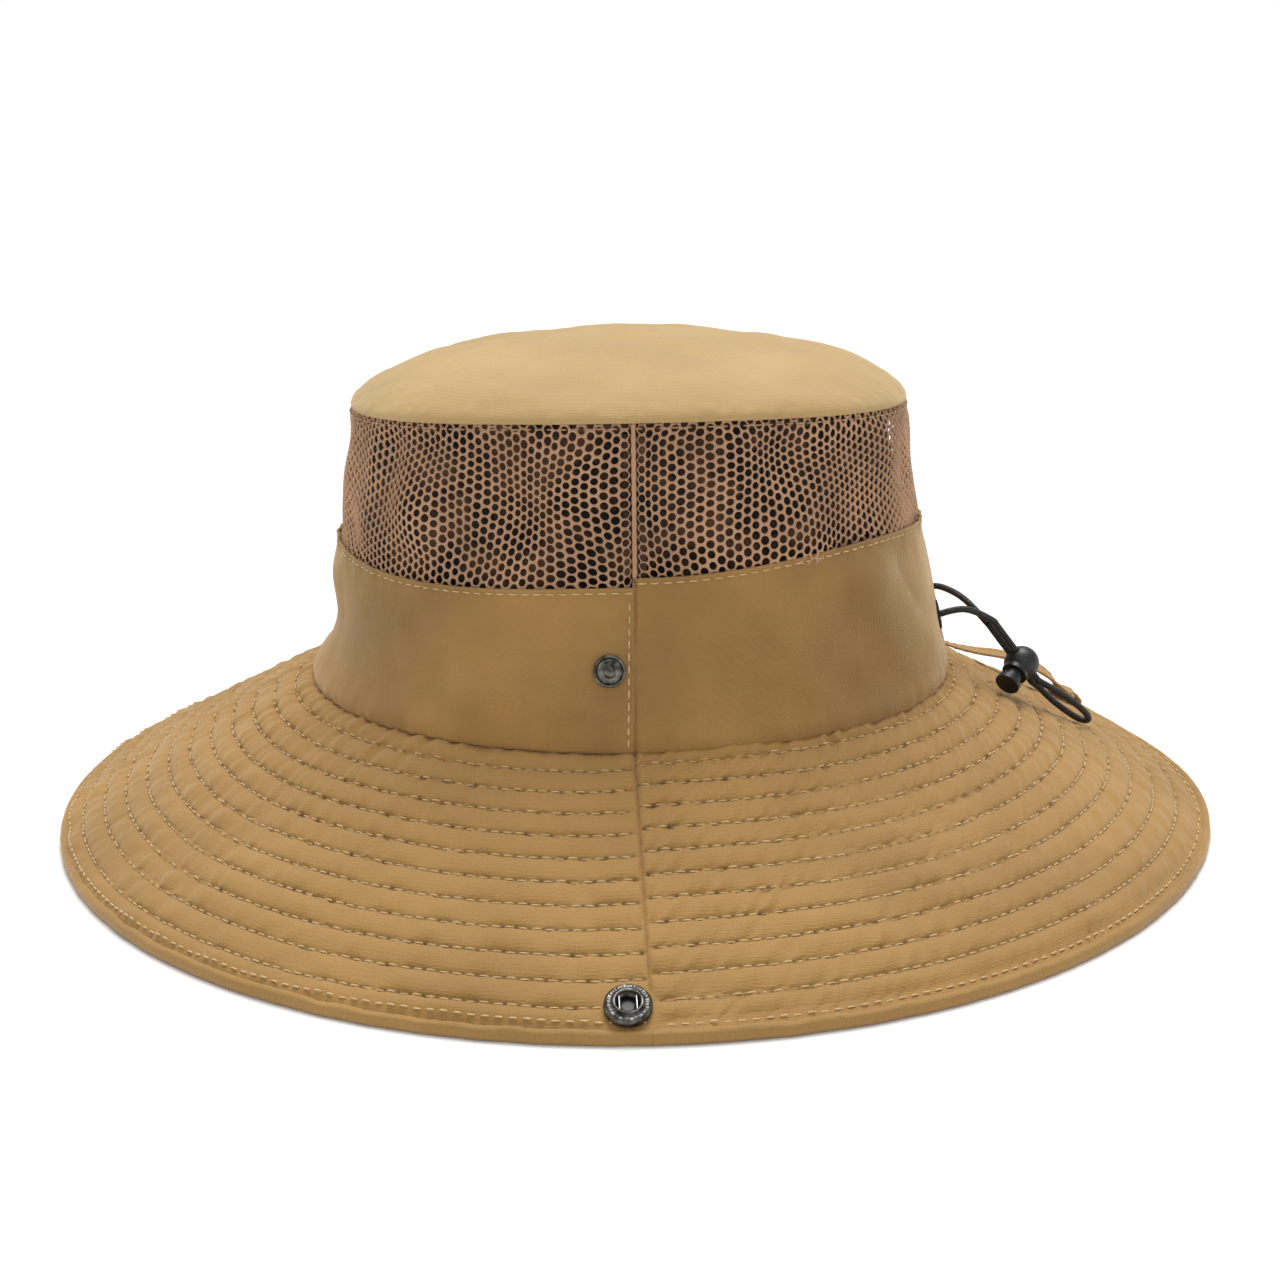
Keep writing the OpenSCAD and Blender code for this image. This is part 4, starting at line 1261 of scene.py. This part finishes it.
def add_stud(name, side):
    profile = [(1.2, -1.9), (1.6, -1.8), (1.6, 0.15), (4.3, 0.2), (4.6, 0.45), (4.6, 0.9), (4.45, 1.05),
               (4.1, 1.1), (3.85, 1.0), (3.6, 0.72), (3.3, 0.62), (2.4, 0.66), (1.9, 0.8), (1.45, 1.2),
               (1.25, 1.6), (1.25, 2.0), (1.5, 2.35), (1.62, 2.7), (1.6, 3.0), (1.35, 3.28), (0.9, 3.4)]
    piece = lathe(f"snap_stud_{name}", profile, stud_place() + [0.35, 0, 0], np.pi / 2 - WALL_SLOPE, side,
                  "gunmetal", 64)
    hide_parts(f"stud_{name}")
    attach(piece, "hat")


def socket_relief(r, z, turn):
    """A knurled outer edge and a plain engraved pattern of arcs round the face."""
    knurl = 0.16 * np.cos(60 * turn) * (r > 5.7)
    groove = ((r > 3.9) & (r < 5.1)) * (0.13 * (np.sin(12 * turn) > 0.2) + 0.07 * (np.sin(36 * turn) > 0.3))
    return r + knurl, z - groove


def add_socket(name, side):
    s = (SOCKET_X - SEAM_B) / (RIM_B - SEAM_B)
    at = np.array([SOCKET_X, SNAP_Y, mix(SEAM_Z, BRIM_T, s)])
    profile = [(2.15, 0.2), (5.6, 0.2), (5.85, 0.4), (5.9, 1.1), (5.9, 1.9), (5.75, 2.25), (5.45, 2.55),
               (5.2, 2.75), (5.0, 2.8), (4.6, 2.84), (4.2, 2.88), (3.95, 3.1), (3.7, 3.38), (3.4, 3.4),
               (3.12, 3.25), (3.0, 2.95), (4.1, 2.85), (4.1, 1.95), (3.0, 1.85), (3.0, 1.0), (2.15, 0.9)]
    piece = lathe(f"snap_socket_{name}", profile, at, BRIM_SLOPE, side, "gunmetal", 288, socket_relief)
    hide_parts(f"socket_{name}")
    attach(piece, f"{name}_side")
    profile = [(1.0, 0.91), (2.9, 0.91), (2.95, 1.0), (2.9, 1.08), (1.0, 1.08)]
    floor = lathe(f"snap_socket_floor_{name}", profile, at, BRIM_SLOPE, side, "plastic", 48)
    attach(floor, f"{name}_side")


for name, side in WAY.items():
    add_stud(name, side)
    add_socket(name, side)

# ---- CAD nodes that stay ----

SLOT_MATERIALS = {"tan_cloth": "tan", "mesh": "mesh", "interlining": "core", "sweatband": "sweatband",
                  "seam_tape": "tape", "gunmetal": "gunmetal", "spring_steel": "steel",
                  "black_metal": "black_metal", "elastic_cord": "cord", "black_plastic": "plastic"}
for entry in frame["record"]["subparts"]:
    node = frame["nodes"][entry["node"]]
    if not node.hide_render:
        node.data.materials.clear()
        node.data.materials.append(materials[SLOT_MATERIALS[entry["material_slot"]]])


# ---- floor and light ----

def add_floor():
    shader = Shader("pale_floor", 0.6)
    shader.base.inputs["Specular IOR Level"].default_value = 0.2
    shader.colour(shader.ramp(shader.noise(3, 2), [(0.3, (0.90, 0.90, 0.90)), (0.7, (0.92, 0.92, 0.92))]))
    materials["floor"] = shader.material
    size = 12000
    floor = add_mesh("floor", [[-size, -size, -0.02], [size, -size, -0.02], [size, size, -0.02],
                               [-size, size, -0.02]], [[0, 1, 2, 3]], "floor")


def add_light(name, place, strength, spread):
    """A distant lamp in the direction of place, spread over that many degrees."""
    data = bpy.data.lights.new(name, "SUN")
    data.energy = strength
    data.angle = np.radians(spread)
    lamp = bpy.data.objects.new(name, data)
    bpy.context.scene.collection.objects.link(lamp)
    back = unit(np.array(place, float))
    side = unit(np.cross([0.01, 1, 0.02], back))
    lamp.matrix_world = placement(side, np.cross(back, side), back)


def add_world():
    """An even studio: bright round the horizon and overhead, dimmer between."""
    world = bpy.data.worlds.new("studio")
    bpy.context.scene.world = world
    world.use_nodes = True
    tree = world.node_tree
    place = tree.nodes.new("ShaderNodeTexCoord")
    split = tree.nodes.new("ShaderNodeSeparateXYZ")
    ramp = tree.nodes.new("ShaderNodeValToRGB")
    tree.links.new(place.outputs["Generated"], split.inputs["Vector"])
    tree.links.new(split.outputs["Z"], ramp.inputs["Fac"])
    tree.links.new(ramp.outputs["Color"], tree.nodes["Background"].inputs["Color"])
    greys = [(0.0, 1.0), (0.10, 1.0), (0.22, 0.42), (0.65, 0.45), (1.0, 0.9)]
    set_stops(ramp, [(height, (grey, grey, grey)) for height, grey in greys])
    tree.nodes["Background"].inputs["Strength"].default_value = 1.0


add_floor()
add_world()
add_light("overhead", (-0.35, 0.08, 1.0), 2.4, 35)
add_light("front_fill", (1.0, 0.1, 0.75), 0.2, 30)
bpy.context.scene.view_settings.view_transform = "Standard"
